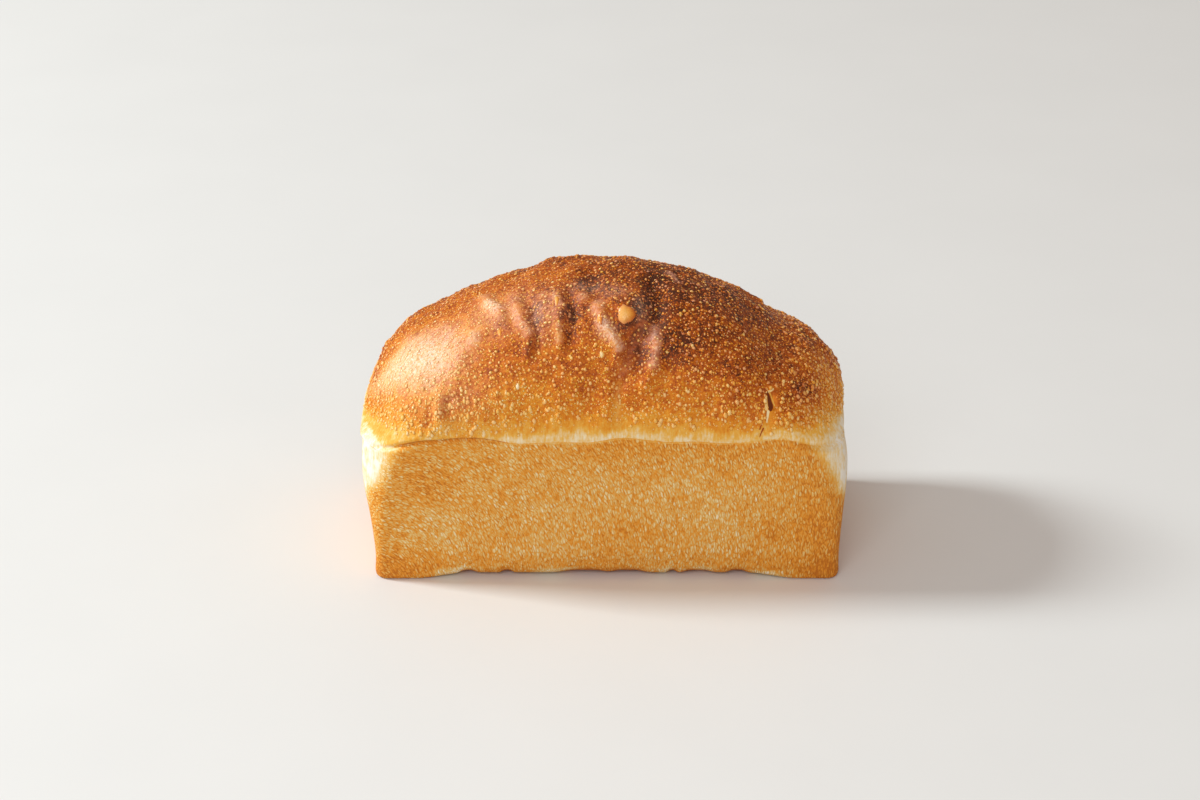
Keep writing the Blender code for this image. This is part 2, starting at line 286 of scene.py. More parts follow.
@dataclass(frozen=True)
class BoxLattice:
    """The faces of a box from -1 to 1 cut into cells, with shared corners."""

    along: int = 190
    across: int = 92
    lower_rows: int = 56
    crown_rows: int = 46
    seam_crowding: float = 1.35

    def levels(self) -> Array:
        """The heights of the rows, crowded towards the seam at 0: even steps raised to a power."""
        low = -np.linspace(1, 0, self.lower_rows + 1) ** self.seam_crowding
        high = np.linspace(0, 1, self.crown_rows + 1)[1:] ** self.seam_crowding
        return np.concatenate([low, high])

    def corners(self) -> tuple:
        """The lattice's points and cells. Each face of the box is a grid of whole-numbered places, and
        equal places of two faces become one point.

        Returns:
            The coordinates a, b, w of the points, and the cells as rows of four point numbers.
        """
        a = np.linspace(-1, 1, self.along + 1)
        b = np.linspace(-1, 1, self.across + 1)
        w = self.levels()
        i, j, k = np.arange(len(a)), np.arange(len(b)), np.arange(len(w))
        faces = []
        for end, turned in ((0, True), (len(w) - 1, False)):
            p, q = np.meshgrid(i, j, indexing="ij")
            faces.append((p, q, np.full_like(p, end), turned))
        for end, turned in ((0, False), (len(b) - 1, True)):
            p, q = np.meshgrid(i, k, indexing="ij")
            faces.append((p, np.full_like(p, end), q, turned))
        for end, turned in ((0, True), (len(a) - 1, False)):
            p, q = np.meshgrid(j, k, indexing="ij")
            faces.append((np.full_like(p, end), p, q, turned))
        base = 1 << 12
        places, cells = [], []
        for p, q, r, turned in faces:
            place = (p * base + q) * base + r
            quad = np.stack([place[:-1, :-1], place[1:, :-1], place[1:, 1:], place[:-1, 1:]], axis=-1)
            quad = quad.reshape(-1, 4)
            places.append(place.ravel())
            cells.append(quad[:, ::-1] if turned else quad)
        shared = np.unique(np.concatenate(places))
        cells = np.searchsorted(shared, np.concatenate(cells))
        return a[shared // base // base], b[shared // base % base], w[shared % base], cells


@dataclass(frozen=True)
class Fold:
    """A fold (negative) or a ridge of the crown: millimetres, and a path of (x mm, crown degrees)."""

    height: float
    width: float
    path: tuple


@dataclass(frozen=True)
class Oval:
    """A soft oval of the crust: its strength, its middle as x mm and an angle up the crown, and its
    half sizes. On the tin's faces the height in mm takes the place of the angle."""

    amount: float
    x: float
    up: float
    half_x: float
    half_up: float

    def off(self, x: Array, up: Array) -> Array:
        """The squared distance from the middle, 1 on the oval's outline."""
        return ((x - self.x) / self.half_x) ** 2 + ((up - self.up) / self.half_up) ** 2


@dataclass(frozen=True)
class BigBlister:
    """A blister large enough to be shaped alone: place, half sizes and height in mm, and its tone."""

    x: float
    angle: float
    half_x: float
    half_up: float
    height: float
    baked: float


@dataclass(frozen=True)
class SmoothSkin:
    """Tight skin without blisters: how pale its painted sheen highlight is, half width in mm, and a path as
    for folds.
    """

    sheen: float
    width: float
    path: tuple


@dataclass(frozen=True)
class Mark:
    """A fine tapered stroke on the front: its degree of baking, two ends as (x, z) and the half width
    at each, in mm."""

    level: float
    start: tuple
    end: tuple
    half_start: float
    half_end: float


FOLDS = tuple(Fold(*row) for row in (
    (1.9, 3.0, ((-52, 86), (-47, 74), (-42.5, 64))),
    (-1.2, 2.4, ((-45, 80), (-39.5, 66), (-37.5, 57))),
    (1.7, 2.6, ((-38.5, 70), (-35, 57), (-32.6, 50), (-31.8, 42))),
    (-1.9, 2.0, ((-35, 77), (-32.6, 67), (-30.5, 57), (-29.5, 49), (-30, 41))),
    (1.5, 2.4, ((-22, 69), (-19.5, 61), (-19.7, 52), (-19.3, 43))),
    (-1.5, 2.3, ((-17, 71), (-14.5, 60), (-15, 45))),
    (-1.8, 3.4, ((-7, 88), (-6, 77), (-4, 67))),
    (2.4, 2.6, ((-4, 60), (-1, 50.3), (2, 46.2), (5, 41), (4.8, 36))),
    (0.9, 3.2, ((-2.5, 39), (-5.5, 32))),
    (-2.8, 4.4, ((19, 81), (22, 72), (22, 65), (18.5, 53), (13, 45.5), (9, 40))),
    (1.9, 2.4, ((19.8, 52), (20.2, 43.5), (19.3, 35), (15, 26))),
    (-2.2, 3.6, ((10.5, 42), (8.9, 37), (6, 29))),
    (-1.7, 2.3, ((6, 29), (4.6, 21), (4.4, 12))),
    (1.2, 1.9, ((26.5, 92), (29.5, 84))),
    (-1.3, 3.0, ((31, 95), (32.5, 81))),
    (-1.6, 2.1, ((-65.5, 28), (-65.5, 21))),
    (-1.2, 2.3, ((-73.6, 25), (-73.6, 14))),
    (0.9, 2.0, ((-69.5, 25), (-69.5, 16))),
    (-1.2, 0.9, ((67.4, 35), (69, 25.5))),
    (-0.9, 0.8, ((67.4, 19), (64.2, 8))),
    (1.3, 3.6, ((58, 115), (64, 112))),
    (-1.2, 5.0, ((-38, 150), (-30, 124), (-36, 110))),
    (-1.5, 4.6, ((24, 160), (31, 138), (27, 124))),
    (1.2, 4.2, ((-14, 150), (-10, 130))),
    (1.1, 4.4, ((50, 152), (44, 134))),
))

# Round blisters and hollows of the crown, in mm and degrees
BUMPS = tuple(Oval(*row) for row in (
    (1.1, -55.6, 57.5, 3.0, 5.0),
    (1.0, -10.4, 66.7, 3.2, 3.4),
    (0.8, -3.4, 53.5, 1.5, 2.8),
    (2.0, 7.9, 60.5, 8.0, 9.0),
    (1.3, 7.6, 55.6, 3.5, 4.0),
    (-1.0, 24.7, 37.9, 3.6, 3.6),
    (-0.9, -4.9, 33.0, 3.2, 3.4),
    (-0.7, -8.5, 22.5, 3.6, 3.6),
    (0.9, -67.0, 15.5, 2.0, 2.2),
    (1.6, -92.0, 100.0, 6.0, 12.0),
    (0.9, -22.0, 108.0, 6.0, 8.0),
    (-0.9, -40.0, 106.0, 6.0, 9.0),
    (0.9, 64.0, 112.0, 5.0, 8.0),
    (-1.2, 78.0, 108.0, 5.0, 9.0),
    (1.6, 91.5, 97.0, 3.5, 8.0),
    (1.0, 87.0, 112.0, 4.0, 6.0),
    (-0.9, 45.0, 104.0, 5.0, 8.0),
    (1.3, -58.0, 138.0, 5.0, 5.5),
    (1.1, 66.0, 148.0, 4.0, 4.4),
))

# Where the crown is darker or paler than its height alone would make it
PATCHES = tuple(Oval(*row) for row in (
    (-0.17, -80, 50, 28, 34),
    (-0.14, -96, 72, 20, 46),
    (-0.08, -51, 84, 24, 30),
    (-0.08, -29, 30, 40, 20),
    (0.05, 50, 76, 30, 34),
    (0.05, 35, 88, 18, 14),
    (0.18, 20, 74, 6, 22),
    (0.12, 27, 48, 8, 10),
    (0.12, -6, 80, 7, 9),
    (0.09, -8, 24, 7, 7),
    (0.16, -65, 23, 5, 7),
    (0.10, -74, 18, 4, 7),
    (0.22, 12, 42, 6, 14),
    (-0.08, -2, 42, 5, 7),
    (-0.08, 34, 28, 20, 8),
    (-0.24, 99, 50, 14, 50),
    (0.12, -30, 60, 3, 12),
    (0.12, -15, 60, 3, 12),
    (0.12, 12, 60, 3, 5),
    (0.10, 80, 40, 10, 12),
    (0.12, -46, 140, 26, 26),
    (0.14, 34, 134, 30, 26),
    (-0.08, -4, 150, 16, 18),
))

# Smooth, tight skin: how pale its painted sheen highlight is, its half width in mm, and its path
SMOOTH_SKIN = tuple(SmoothSkin(*row) for row in (
    (0.05, 6.0, ((15.5, 50), (12, 46))),
    (0.08, 4.6, ((11.5, 44), (9, 38))),
    (0.10, 3.2, ((8, 37), (6, 29))),
    (0.06, 2.0, ((6, 29), (4.6, 21), (4.6, 14))),
    (0.30, 2.8, ((-4, 64), (-4, 57))),
    (0.85, 2.6, ((-2.4, 52), (-0.4, 49.5), (2, 46.2))),
    (0.60, 2.6, ((2, 46.2), (4.8, 42))),
    (0.42, 2.4, ((19.8, 52), (20.2, 43.5), (19.3, 36))),
    (0.74, 3.8, ((-49.5, 78), (-46, 70))),
    (0.30, 2.6, ((-52, 86), (-49, 78))),
    (0.36, 3.2, ((-38.5, 66), (-36.4, 60))),
    (0.45, 2.4, ((-35, 56), (-33, 51))),
    (0.36, 2.2, ((-28, 71), (-27.6, 70))),
    (0.42, 2.6, ((-10.4, 67), (-10, 66))),
    (0.50, 4.0, ((-55.6, 61), (-55.6, 55))),
    (0.45, 1.8, ((-22, 68), (-20, 62))),
    (0.30, 1.8, ((-20, 53), (-19.6, 45))),
    (0.50, 1.8, ((27, 91), (29.5, 85))),
    (0.30, 3.0, ((-14, 148), (-10, 134))),
    (0.20, 3.4, ((25, 156), (31, 138))),
))

# Broad faint painted sheen highlight that keeps its blisters
SHEEN_PATCHES = tuple(Oval(*row) for row in (
    (0.30, -46, 70, 15, 13),
    (0.26, -27, 62, 9, 12),
    (0.28, 14, 60, 3, 7),
    (0.20, 3, 70, 6, 5),
    (0.22, -9, 74, 7, 5),
    (0.16, -66, 30, 16, 14),
))

# The broad painted sheen highlight of the left shoulder, where the key light from the left is reflected
LEFT_SHEEN = Oval(0.95, -79, 57, 19, 20)

# Where the front of the tin's part is darker or paler, with the height in place of the angle
TIN_PATCHES = (Oval(0.10, -74, 50, 11, 9), Oval(-0.10, -94, 54, 8, 11))

# Pale bits along the front's foot: middle, half width and height in mm
FOOT_DOUGH = ((-66, 7, 5.5), (-22, 9, 4.8), (25, 3, 5.0), (41, 4, 4.8), (70, 8, 4.0))

# More than any distance on the loaf in mm, for points that are left out of a search
FAR = 1000.0

BIG_BLISTERS = tuple(BigBlister(*row) for row in (
    (7.7, 55.0, 3.3, 4.3, 1.1, 0.40),
    (-3.7, 53.4, 1.3, 2.8, 0.6, 0.46),
    (-44.6, 56.2, 1.2, 2.2, 0.7, 0.44),
    (-2.4, 38.4, 1.3, 1.5, 0.5, 0.20),
    (-37.2, 28.2, 1.0, 1.5, 0.6, 0.10),
    (80.4, 71.8, 1.4, 2.0, 0.6, 0.46),
    (78.6, 51.9, 1.2, 1.5, 0.5, 0.48),
    (82.4, 36.6, 1.2, 1.6, 0.5, 0.42),
    (62.2, 24.2, 1.0, 1.4, 0.5, 0.34),
    (-20.6, 64.0, 1.1, 2.6, 0.5, 0.40),
    (-51.0, 7.5, 1.2, 2.0, 0.6, 0.18),
    (-39.0, 20.0, 1.1, 1.5, 0.5, 0.26),
    (-23.0, 12.0, 1.0, 1.4, 0.5, 0.28),
    (-59.0, 30.0, 1.0, 1.5, 0.5, 0.26),
    (34.0, 52.0, 0.9, 1.5, 0.5, 0.40),
    (26.6, 88.0, 0.9, 1.2, 0.5, 0.30),
    (-16.0, 142.0, 2.8, 3.4, 1.2, 0.42),
    (44.0, 120.0, 1.8, 2.4, 0.8, 0.46),
    (-66.0, 128.0, 1.6, 2.2, 0.7, 0.42),
))

# Drawn marks of the front: the crack at the right with its pale edges, painted shade in its open wedge and
# down its left edge and a painted highlight along its right edge, and painted shade in small creases and a
# pit at the left
MARKS = tuple(Mark(*row) for row in (
    (0.20, (69.9, 89.2), (67.5, 88.6), 0.35, 0.50),
    (0.24, (66.8, 87.2), (67.0, 83.6), 0.55, 0.85),
    # painted shade in the crack's open wedge, and further down its left edge
    (0.88, (67.4, 88.7), (68.7, 83.5), 0.30, 1.15),
    # painted highlight along the crack's right edge
    (0.30, (68.3, 88.4), (70.3, 83.8), 0.24, 0.28),
    (0.14, (67.6, 82.4), (67.1, 78.3), 0.62, 0.35),
    (0.74, (66.8, 82.6), (66.4, 79.0), 0.22, 0.15),
    (0.76, (65.2, 78.6), (64.2, 75.8), 0.20, 0.32),
    (0.78, (65.6, 75.8), (64.2, 72.5), 0.42, 0.16),
    # painted shade in a pit and small creases at the left
    (0.60, (-85.1, 90.6), (-86.2, 88.6), 0.16, 0.42),
    (0.60, (-86.2, 88.6), (-85.6, 86.6), 0.42, 0.16),
    (0.58, (-73.6, 98.6), (-71.1, 96.8), 0.16, 0.26),
    (0.62, (-89.2, 82.2), (-89.0, 79.4), 0.14, 0.34),
))


# The way that the crack takes over the front, in mm along and up, which blisters keep clear of
CRACK = ((69.0, 89.0), (68.2, 83.5), (66.8, 78.5), (64.6, 73.0))


@dataclass
class LoafForm:
    """The loaf's form: a tapered box below the rim, a risen crown above it, and their relief."""

    foot_length: float = 0.199
    foot_width: float = 0.091
    rim_length: float = 0.2075
    rim_width: float = 0.102
    rim_height: float = 0.0685
    corner_foot: float = 0.005
    corner_rim: float = 0.024
    foot_edge: float = 0.002
    foot_edge_middle: float = 0.0025
    foot_edge_along: Step = Step(0.080, 0.030)
    underside_power: float = 1.4
    corner_drop: float = 0.0055
    drop_along: Step = Step(0.70, 0.24)
    drop_across: Step = Step(0.20, 0.62)
    shoulder: float = 0.048
    shoulder_power: float = 0.6
    squareness: float = 2.2
    end_lean: float = 0.20
    wall_pull: float = 0.0009
    long_face_from: Step = Step(0.70, 0.15)
    end_face_from: Step = Step(0.85, 0.10)
    foot_pull: float = 0.0015
    foot_lift: float = 0.0013
    foot_reach: float = 0.014
    foot_high: float = 0.016
    foot_middle: Step = Step(0.082, 0.022)
    notch_lift: float = 0.0015
    seam_depth: float = 0.0015
    seam_half: float = 0.0008
    seam_rise: float = 0.0008
    seam_waves: tuple = ((0, 0.0011, 0.072, 0.9), (0, 0.0005, 0.031, 0.0), (1, 0.0012, 0.060, 0.4))
    seam_share: float = 0.35
    lip_along: Step = Step(-0.045, 0.012)
    lip_across: Step = Step(0.010, 0.020)
    weak_groove: Step = Step(-0.082, 0.010)
    groove_loss: float = 0.75
    lip: float = 0.0012
    lip_start: float = 0.0008
    lip_fade: float = 0.006
    relief_fade: float = 0.004
    wander_along: Unevenness = Unevenness(1.5, 0.008, 21)
    wander_up: Unevenness = Unevenness(1.5, 0.008, 25)
    lump_height: float = 0.0005
    lump_seed: int = 11
    lump_lengths: tuple = (0.052, 0.037, 0.028, 0.021, 0.016, 0.012)
    ridge_x: tuple = (
        -0.104, -0.088, -0.073, -0.052, -0.026, -0.005, 0.016, 0.031, 0.052, 0.073, 0.088, 0.104)
    ridge_rise: tuple = (
        0.017, 0.035, 0.037, 0.046, 0.0557, 0.0585, 0.0573, 0.054, 0.0448, 0.0322, 0.0322, 0.0228)
    end_pulls: tuple = ((-1, 46, 13, -2.2), (-1, 88, 9, -2.5), (1, 66, 9, 2.4), (1, 88, 9, -2.5))
    rear_pull: float = 0.003
    rear_pull_height: float = 0.064
    rear_pull_half: float = 0.013
    rear_from: Step = Step(-0.008, 0.028)
    notches: tuple = ((-60, 3.5), (-43, 2.5), (-10, 10), (9, 7), (28, 2), (39, 6), (56, 4))

    def rim_drop(self, x: Array, y: Array) -> Array:
        """How far the rim line sinks near the corners: the drop times a smooth step along the loaf and
        one across it."""
        along = self.drop_along.up(np.abs(x) / (self.rim_length / 2))
        across = self.drop_across.up(np.abs(y) / (self.rim_width / 2))
        return self.corner_drop * along * across

    def crown(self, a: Array, b: Array, w: Array) -> Array:
        """The crown. Across the loaf it is an arch, the curve where the powers of the two coordinates
        add up to one. Its height follows the ridge line, and round shoulders close it at the ends.

        Args:
            a: Along the loaf, -1 to 1.
            b: Across the loaf, -1 to 1.
            w: Up the crown, 0 to 1.

        Returns:
            The points, one row each.
        """
        half_x, half_y = self.rim_length / 2, self.rim_width / 2
        arch = (np.abs(b) ** self.squareness + w ** self.squareness) ** (1 / self.squareness)
        arch = np.maximum(arch, 1e-9)
        across, up = b / arch, w / arch
        ring = np.maximum(np.abs(b), w)
        radius = self.corner_rim + (self.shoulder - self.corner_rim) * up ** self.shoulder_power
        x, y = round_corners(half_x * a, half_y * ring, half_x, half_y, radius)
        ring = y / half_y
        rise = curve_through(x, self.ridge_x, self.ridge_rise) * ring * up
        y = half_y * ring * across
        z = self.rim_height + rise - self.rim_drop(x, y)
        lean = self.end_lean * np.maximum(z - self.rim_height, 0) / half_x * (np.abs(x) / half_x) ** 4
        return np.stack([x * (1 - lean), y, z], axis=1)

    def lower(self, a: Array, b: Array, w: Array) -> Array:
        """The part below the rim, and the underside. Length, width and corner radius grow from the foot
        to the rim, and the foot's edge is a quarter round.

        Args:
            a: Along the loaf, -1 to 1.
            b: Across the loaf, -1 to 1.
            w: Up the wall, -1 at the foot and 0 at the rim.

        Returns:
            The points, one row each.
        """
        ring = np.maximum(np.maximum(np.abs(a), np.abs(b)), 1e-9)
        round_here = self.foot_edge_along.down(np.abs(self.foot_length / 2 * a))
        radius = self.foot_edge + self.foot_edge_middle * round_here
        level = radius + (self.rim_height - radius) * (1 + w)
        up = level / self.rim_height
        half_x = (self.foot_length + (self.rim_length - self.foot_length) * up) / 2
        half_y = (self.foot_width + (self.rim_width - self.foot_width) * up) / 2
        corner = self.corner_foot + (self.corner_rim - self.corner_foot) * up ** 2
        x, y = round_corners(half_x * a / ring, half_y * b / ring, half_x, half_y, corner)
        underside = w <= -1
        inward = np.where(underside, 1 - (1 - ring) ** self.underside_power, 1.0)
        x, y = x * inward, y * inward
        edge_x, edge_y = np.abs(x) - (half_x - corner), np.abs(y) - (half_y - corner)
        outside = np.hypot(np.maximum(edge_x, 0), np.maximum(edge_y, 0))
        inside = corner - outside - np.minimum(np.maximum(edge_x, edge_y), 0)
        short = np.clip(radius - inside, 0, radius)
        turned_under = radius - np.sqrt(np.maximum(radius ** 2 - short ** 2, 0))
        z = np.where(underside, turned_under, level - self.rim_drop(x, y) * (1 + w) ** 2)
        return np.stack([x, y, z], axis=1)

    def angle(self, points: Array) -> Array:
        """How far round the crown each point is: the angle of its height over its way back, both as
        shares of the arch. 0 is the front rim, 90 the ridge and 180 the back rim."""
        rise = curve_through(points[:, 0], self.ridge_x, self.ridge_rise)
        up = (points[:, 2] - self.rim_height) / rise
        return np.degrees(np.arctan2(up, -points[:, 1] / (self.rim_width / 2)))

    def seam(self, points: Array) -> Array:
        """The seam's height: sine waves along the rim line, which sinks at the corners. Each wave has
        its way, 0 along and 1 across, its depth, its length and the turn that it starts with."""
        x, y = points[:, 0], points[:, 1]
        height = self.rim_height + self.seam_rise - self.rim_drop(x, y)
        for way, depth, length, start in self.seam_waves:
            height += depth * np.sin((x, y)[way] * 2 * math.pi / length + start)
        return height

    def wandering(self, points: Array) -> tuple:
        """The crown's x in millimetres and angle in degrees, shifted by a soft noise of about a
        millimetre, so that what is drawn along a path gets an uneven edge."""
        x = points[:, 0] / MM + self.wander_along.at(points)
        return x, self.angle(points) + self.wander_up.at(points)

    def crown_relief(self, points: Array) -> Array:
        """Folds and bumps of the crown: each fold falls off with the squared distance from its path, in
        a plane of millimetres along and degrees up, where a degree is very nearly a millimetre."""
        x, angle = self.wandering(points)
        relief = np.zeros(len(points))
        for fold in FOLDS:
            relief += fold.height * np.exp(-(distance_to_path(x, angle, fold.path) / fold.width) ** 2)
        for bump in BUMPS:
            relief += bump.amount * np.exp(-bump.off(x, angle) ** 1.5)
        return relief * MM * rising(points[:, 2], self.rim_height, self.relief_fade)

    def lumps(self, points: Array) -> Array:
        """Low, soft unevenness: a sum of six sine waves with seeded directions."""
        draw = np.random.default_rng(self.lump_seed)
        height = np.zeros(len(points))
        for length in self.lump_lengths:
            direction = draw.normal(size=3)
            direction *= 2 * math.pi / length / np.linalg.norm(direction)
            height += length * np.sin(points @ direction + draw.uniform(0, 2 * math.pi))
        return self.lump_height * height / self.lump_lengths[0]

    def strong_lip(self, points: Array) -> Array:
        """1 at the left of the front, where the lip hangs over a groove darkened with painted shade, and 0
        elsewhere.
        """
        return self.lip_along.down(points[:, 0]) * self.lip_across.down(points[:, 1])

    def seam_relief(self, points: Array) -> Array:
        """The groove of the seam, a bell curve across its line, and the lip above it, which fades
        upwards and stands out most at the left of the front."""
        off = points[:, 2] - self.seam(points)
        groove = -self.seam_depth * np.exp(-(off / self.seam_half) ** 2)
        groove = groove * (1 - self.groove_loss * self.weak_groove.down(points[:, 0]))
        lip = self.lip * np.exp(-np.maximum(off, 0) / self.lip_fade) * rising(off, 0.0, self.lip_start)
        return (groove + lip) * (self.seam_share + (1 - self.seam_share) * self.strong_lip(points))

    def pull_ends(self, points: Array) -> None:
        """Draw the ends in, or out where the pull is negative, by bell curves of the height, and their
        rear half in at the rim. The eighth power of the reach keeps it to the last stretch of the
        loaf. The points are changed in place."""
        x, y, z = points.T
        last = (np.abs(x) / (self.rim_length / 2)) ** 8
        pull = self.rear_pull * np.exp(-((z - self.rear_pull_height) / self.rear_pull_half) ** 2)
        pull = pull * self.rear_from.up(y)
        for end, height, half_height, depth in self.end_pulls:
            pull = pull + (x * end > 0) * depth * MM * np.exp(-((z / MM - height) / half_height) ** 2)
        points[:, 0] -= np.sign(x) * last * pull

    def wall_relief(self, points: Array) -> Array:
        """The faces drawn in between rim, foot and corners: half a sine wave up the wall."""
        up = np.clip(points[:, 2] / self.rim_height, 0, 1)
        along = np.abs(points[:, 0]) / (self.rim_length / 2)
        across = np.abs(points[:, 1]) / (self.rim_width / 2)
        long_face = (1 - along ** 4) * self.long_face_from.up(across)
        end_face = (1 - across ** 4) * self.end_face_from.up(along)
        return -self.wall_pull * np.sin(math.pi * up) * np.clip(long_face + end_face, 0, 1)

    def notch(self, points: Array) -> Array:
        """1 in the notches along the long foot edges, 0 between, by flat bell curves."""
        along = np.where(points[:, 1] < 0, 1.0, -1.0) * points[:, 0] / MM
        return sum(np.exp(-((along - centre) / half_width) ** 4) for centre, half_width in self.notches)

    def shape_foot(self, points: Array) -> None:
        """Draw in and lift the middle of the long foot edges, with a notch where the tin was not
        filled. The points are changed in place."""
        x, y, z = points.T
        middle = self.foot_middle.down(np.abs(x))
        near_edge = rising(np.abs(y), self.foot_width / 2 - self.foot_reach, self.foot_reach)
        low = falling(z, self.foot_high, self.foot_high)
        lift = self.foot_lift * middle + self.notch_lift * self.notch(points)
        points[:, 1] -= np.sign(y) * self.foot_pull * middle * low * near_edge
        points[:, 2] += lift * low * near_edge ** 2


@dataclass
class Crust:
    """What is known of each point of a surface: its place on the loaf and how it is baked. Bands and
    steps are in mm or degrees. The points and the cells of the unevenness are in metres."""

    form: LoafForm
    points: Array
    in_crown: Array
    side: Array = field(init=False)
    x: Array = field(init=False)
    angle: Array = field(init=False)
    above_seam: Array = field(init=False)
    corner: Array = field(init=False)
    skin_edge: Unevenness = Unevenness(0.30, 0.003, 95)
    sheen_edge: Unevenness = Unevenness(0.45, 0.004, 97)
    sheen_grain: Unevenness = Unevenness(0.45, 0.003, 91)
    sheen_width: float = 0.9
    left_tightness: float = 0.15
    break_high: float = 4.3
    break_soft: float = 7.0
    lip_lower: float = 5.0
    under_lip_from: Step = Step(-40, 12)
    corner_start: float = 88.0
    right_sooner: float = 2.0
    slant: tuple = (24 / 28.3, 15 / 28.3)
    slant_soft: float = 9.0
    break_uneven: float = 1.6
    fibre_high: float = 1.5
    corner_less: float = 0.5
    sliver_from: Step = Step(-85, 3)
    sliver_below: float = 1.1
    sliver_half: float = 0.8
    break_waves: tuple = (Unevenness(1.0, 0.012, 31), Unevenness(0.5, 0.0022, 33))
    break_fibre: Unevenness = Unevenness(1.0, 0.0016, 35, 0.22)
    crack_clear: float = 1.6
    blisters_from: Step = Step(7, 13)
    left_lower: float = 3.0
    tight_fewer: float = 0.65
    foot_grain: Unevenness = Unevenness(0.35, 0.003, 93)
    crown_least: float = 0.36
    crown_rise: tuple = ((0.29, 0, 42), (0.04, 40, 45))
    crown_tones: tuple = (Unevenness(0.07, 0.018, 41), Unevenness(0.09, 0.0055, 43))
    tin_level: float = 0.385
    end_darker: float = 0.15
    # painted light: less end colour at the left end of each long face
    left_end_painted_light: float = 0.45
    dough_paler: float = 0.8
    foot_darker: float = 0.12
    top_darker: float = 0.06
    # painted shade in the notches under the lifted foot
    notch_painted_shade: float = 0.45
    tin_tones: tuple = (Unevenness(0.07, 0.024, 51), Unevenness(0.04, 0.008, 53))
    dough_level: float = 0.20
    corner_paler: float = 0.13
    left_paler: float = 0.05
    end_dough_darker: float = 0.17
    dough_tone: Unevenness = Unevenness(0.06, 0.007, 57)
    dough_fibre: Unevenness = Unevenness(0.07, 0.0018, 37, 0.2)
    flow_middle: tuple = (-104, -10)
    flow_flatter: float = 1.22
    flow_turn: float = 0.75
    front_from: Step = Step(36, 6)

    def __post_init__(self) -> None:
        """Work out the coordinates that every map of the crust reads."""
        p = self.points
        self.x = p[:, 0] / MM
        self.angle = self.form.angle(p)
        self.above_seam = (p[:, 2] - self.form.seam(p)) / MM
        self.side = np.where(p[:, 1] < 0, Face.FRONT.value, Face.BACK.value)
        self.corner = rising(np.abs(p[:, 0]) / (self.form.rim_length / 2), 0.83, 0.15)

    def up_slope(self) -> Array:
        """The angle up the crown from the nearer rim, 0 to 90 on the front and on the back."""
        return np.where(self.angle > 90, 180 - self.angle, self.angle)

    def along_face(self) -> Array:
        """Millimetres along the side, from left to right for who stands before it."""
        return self.side * -self.x

    def skin_reach(self, edge: Array) -> list:
        """The distance from each path of smooth skin, as a share of its width, which the edge changes."""
        x, angle = self.form.wandering(self.points)
        return [distance_to_path(x, angle, skin.path) / (skin.width * edge) for skin in SMOOTH_SKIN]

    def smooth(self) -> Array:
        """1 on the smooth, tight skin of the deep folds and of the sheen at the left, 0 elsewhere."""
        mask = self.left_tightness * self.left_sheen()
        for reach in self.skin_reach(1 + self.skin_edge.at(self.points)):
            mask = np.maximum(mask, np.exp(-reach ** 4))
        return mask * self.in_crown

    def left_sheen(self) -> Array:
        """1 in the middle of the broad painted sheen highlight on the left shoulder, falling off by a flat
        bell curve.
        """
        return np.exp(-LEFT_SHEEN.off(self.x, self.angle) ** 1.3)

    def sheen(self) -> Array:
        """How strong the painted sheen highlight is, 0 to 1: it paints the tight skin, the left shoulder
        and a few broad patches pale and pinkish, with fine unevenness at the left.
        """
        mask = LEFT_SHEEN.amount * self.left_sheen()
        reaches = self.skin_reach(self.sheen_width * (1 + self.sheen_edge.at(self.points)))
        for skin, reach in zip(SMOOTH_SKIN, reaches):
            mask = np.maximum(mask, skin.sheen * np.exp(-reach ** 2))
        for patch in SHEEN_PATCHES:
            mask = np.maximum(mask, patch.amount * np.exp(-patch.off(self.x, self.angle)))
        return np.clip(mask * (1 + self.sheen_grain.at(self.points)), 0, 1) * self.in_crown

    def below_seam(self) -> Array:
        """1 on the tin's faces below the seam and 0 on the crown above it."""
        return falling(self.above_seam, 0.25, 0.5)

    def pale_break(self) -> Array:
        """1 on the pale band where the dough tore free above the rim, 0 elsewhere. The band is a few
        millimetres high along the long sides and 35 mm high at the corners and ends, where its lower
        edge falls off along a slanting line. Fibres come from a noise that is drawn out upwards."""
        p = self.points
        noise, fibres = sum(wave.at(p) for wave in self.break_waves), self.break_fibre.at(p)
        under_lip = self.under_lip_from.down(self.x) * (self.side < 0)
        past = np.abs(self.x) - self.corner_start + self.right_sooner * (self.x > 0)
        into_corner = self.slant[0] * past + self.slant[1] * self.above_seam
        into_corner += self.break_uneven * (noise + fibres)
        high = self.break_high - self.lip_lower * under_lip * (1 - self.corner)
        high += self.break_uneven * noise + self.fibre_high * fibres - self.corner_less * self.corner
        soft_high = self.break_soft - self.lip_lower * under_lip
        corner = eased(into_corner / self.slant_soft + 0.5)
        above = np.maximum(eased((self.above_seam + 0.3) / 0.5 + 0.5), corner)
        below = eased((high - self.above_seam) / soft_high + 0.5)
        sliver = self.sliver_from.down(self.x) * (self.side < 0)
        sliver = sliver * np.exp(-((self.above_seam + self.sliver_below) / self.sliver_half) ** 2)
        return np.maximum(above * below, sliver)

    def foot_dough(self) -> Array:
        """Pale bits along the front's foot, where the dough didn't reach the tin."""
        height = self.points[:, 2] / MM
        mask = np.zeros(len(self.x))
        for centre, half, top in FOOT_DOUGH:
            here = np.exp(-((self.along_face() - centre) / half) ** 4)
            mask = np.maximum(mask, here * falling(height, top, 1.8))
        return mask * (0.75 + self.foot_grain.at(self.points))

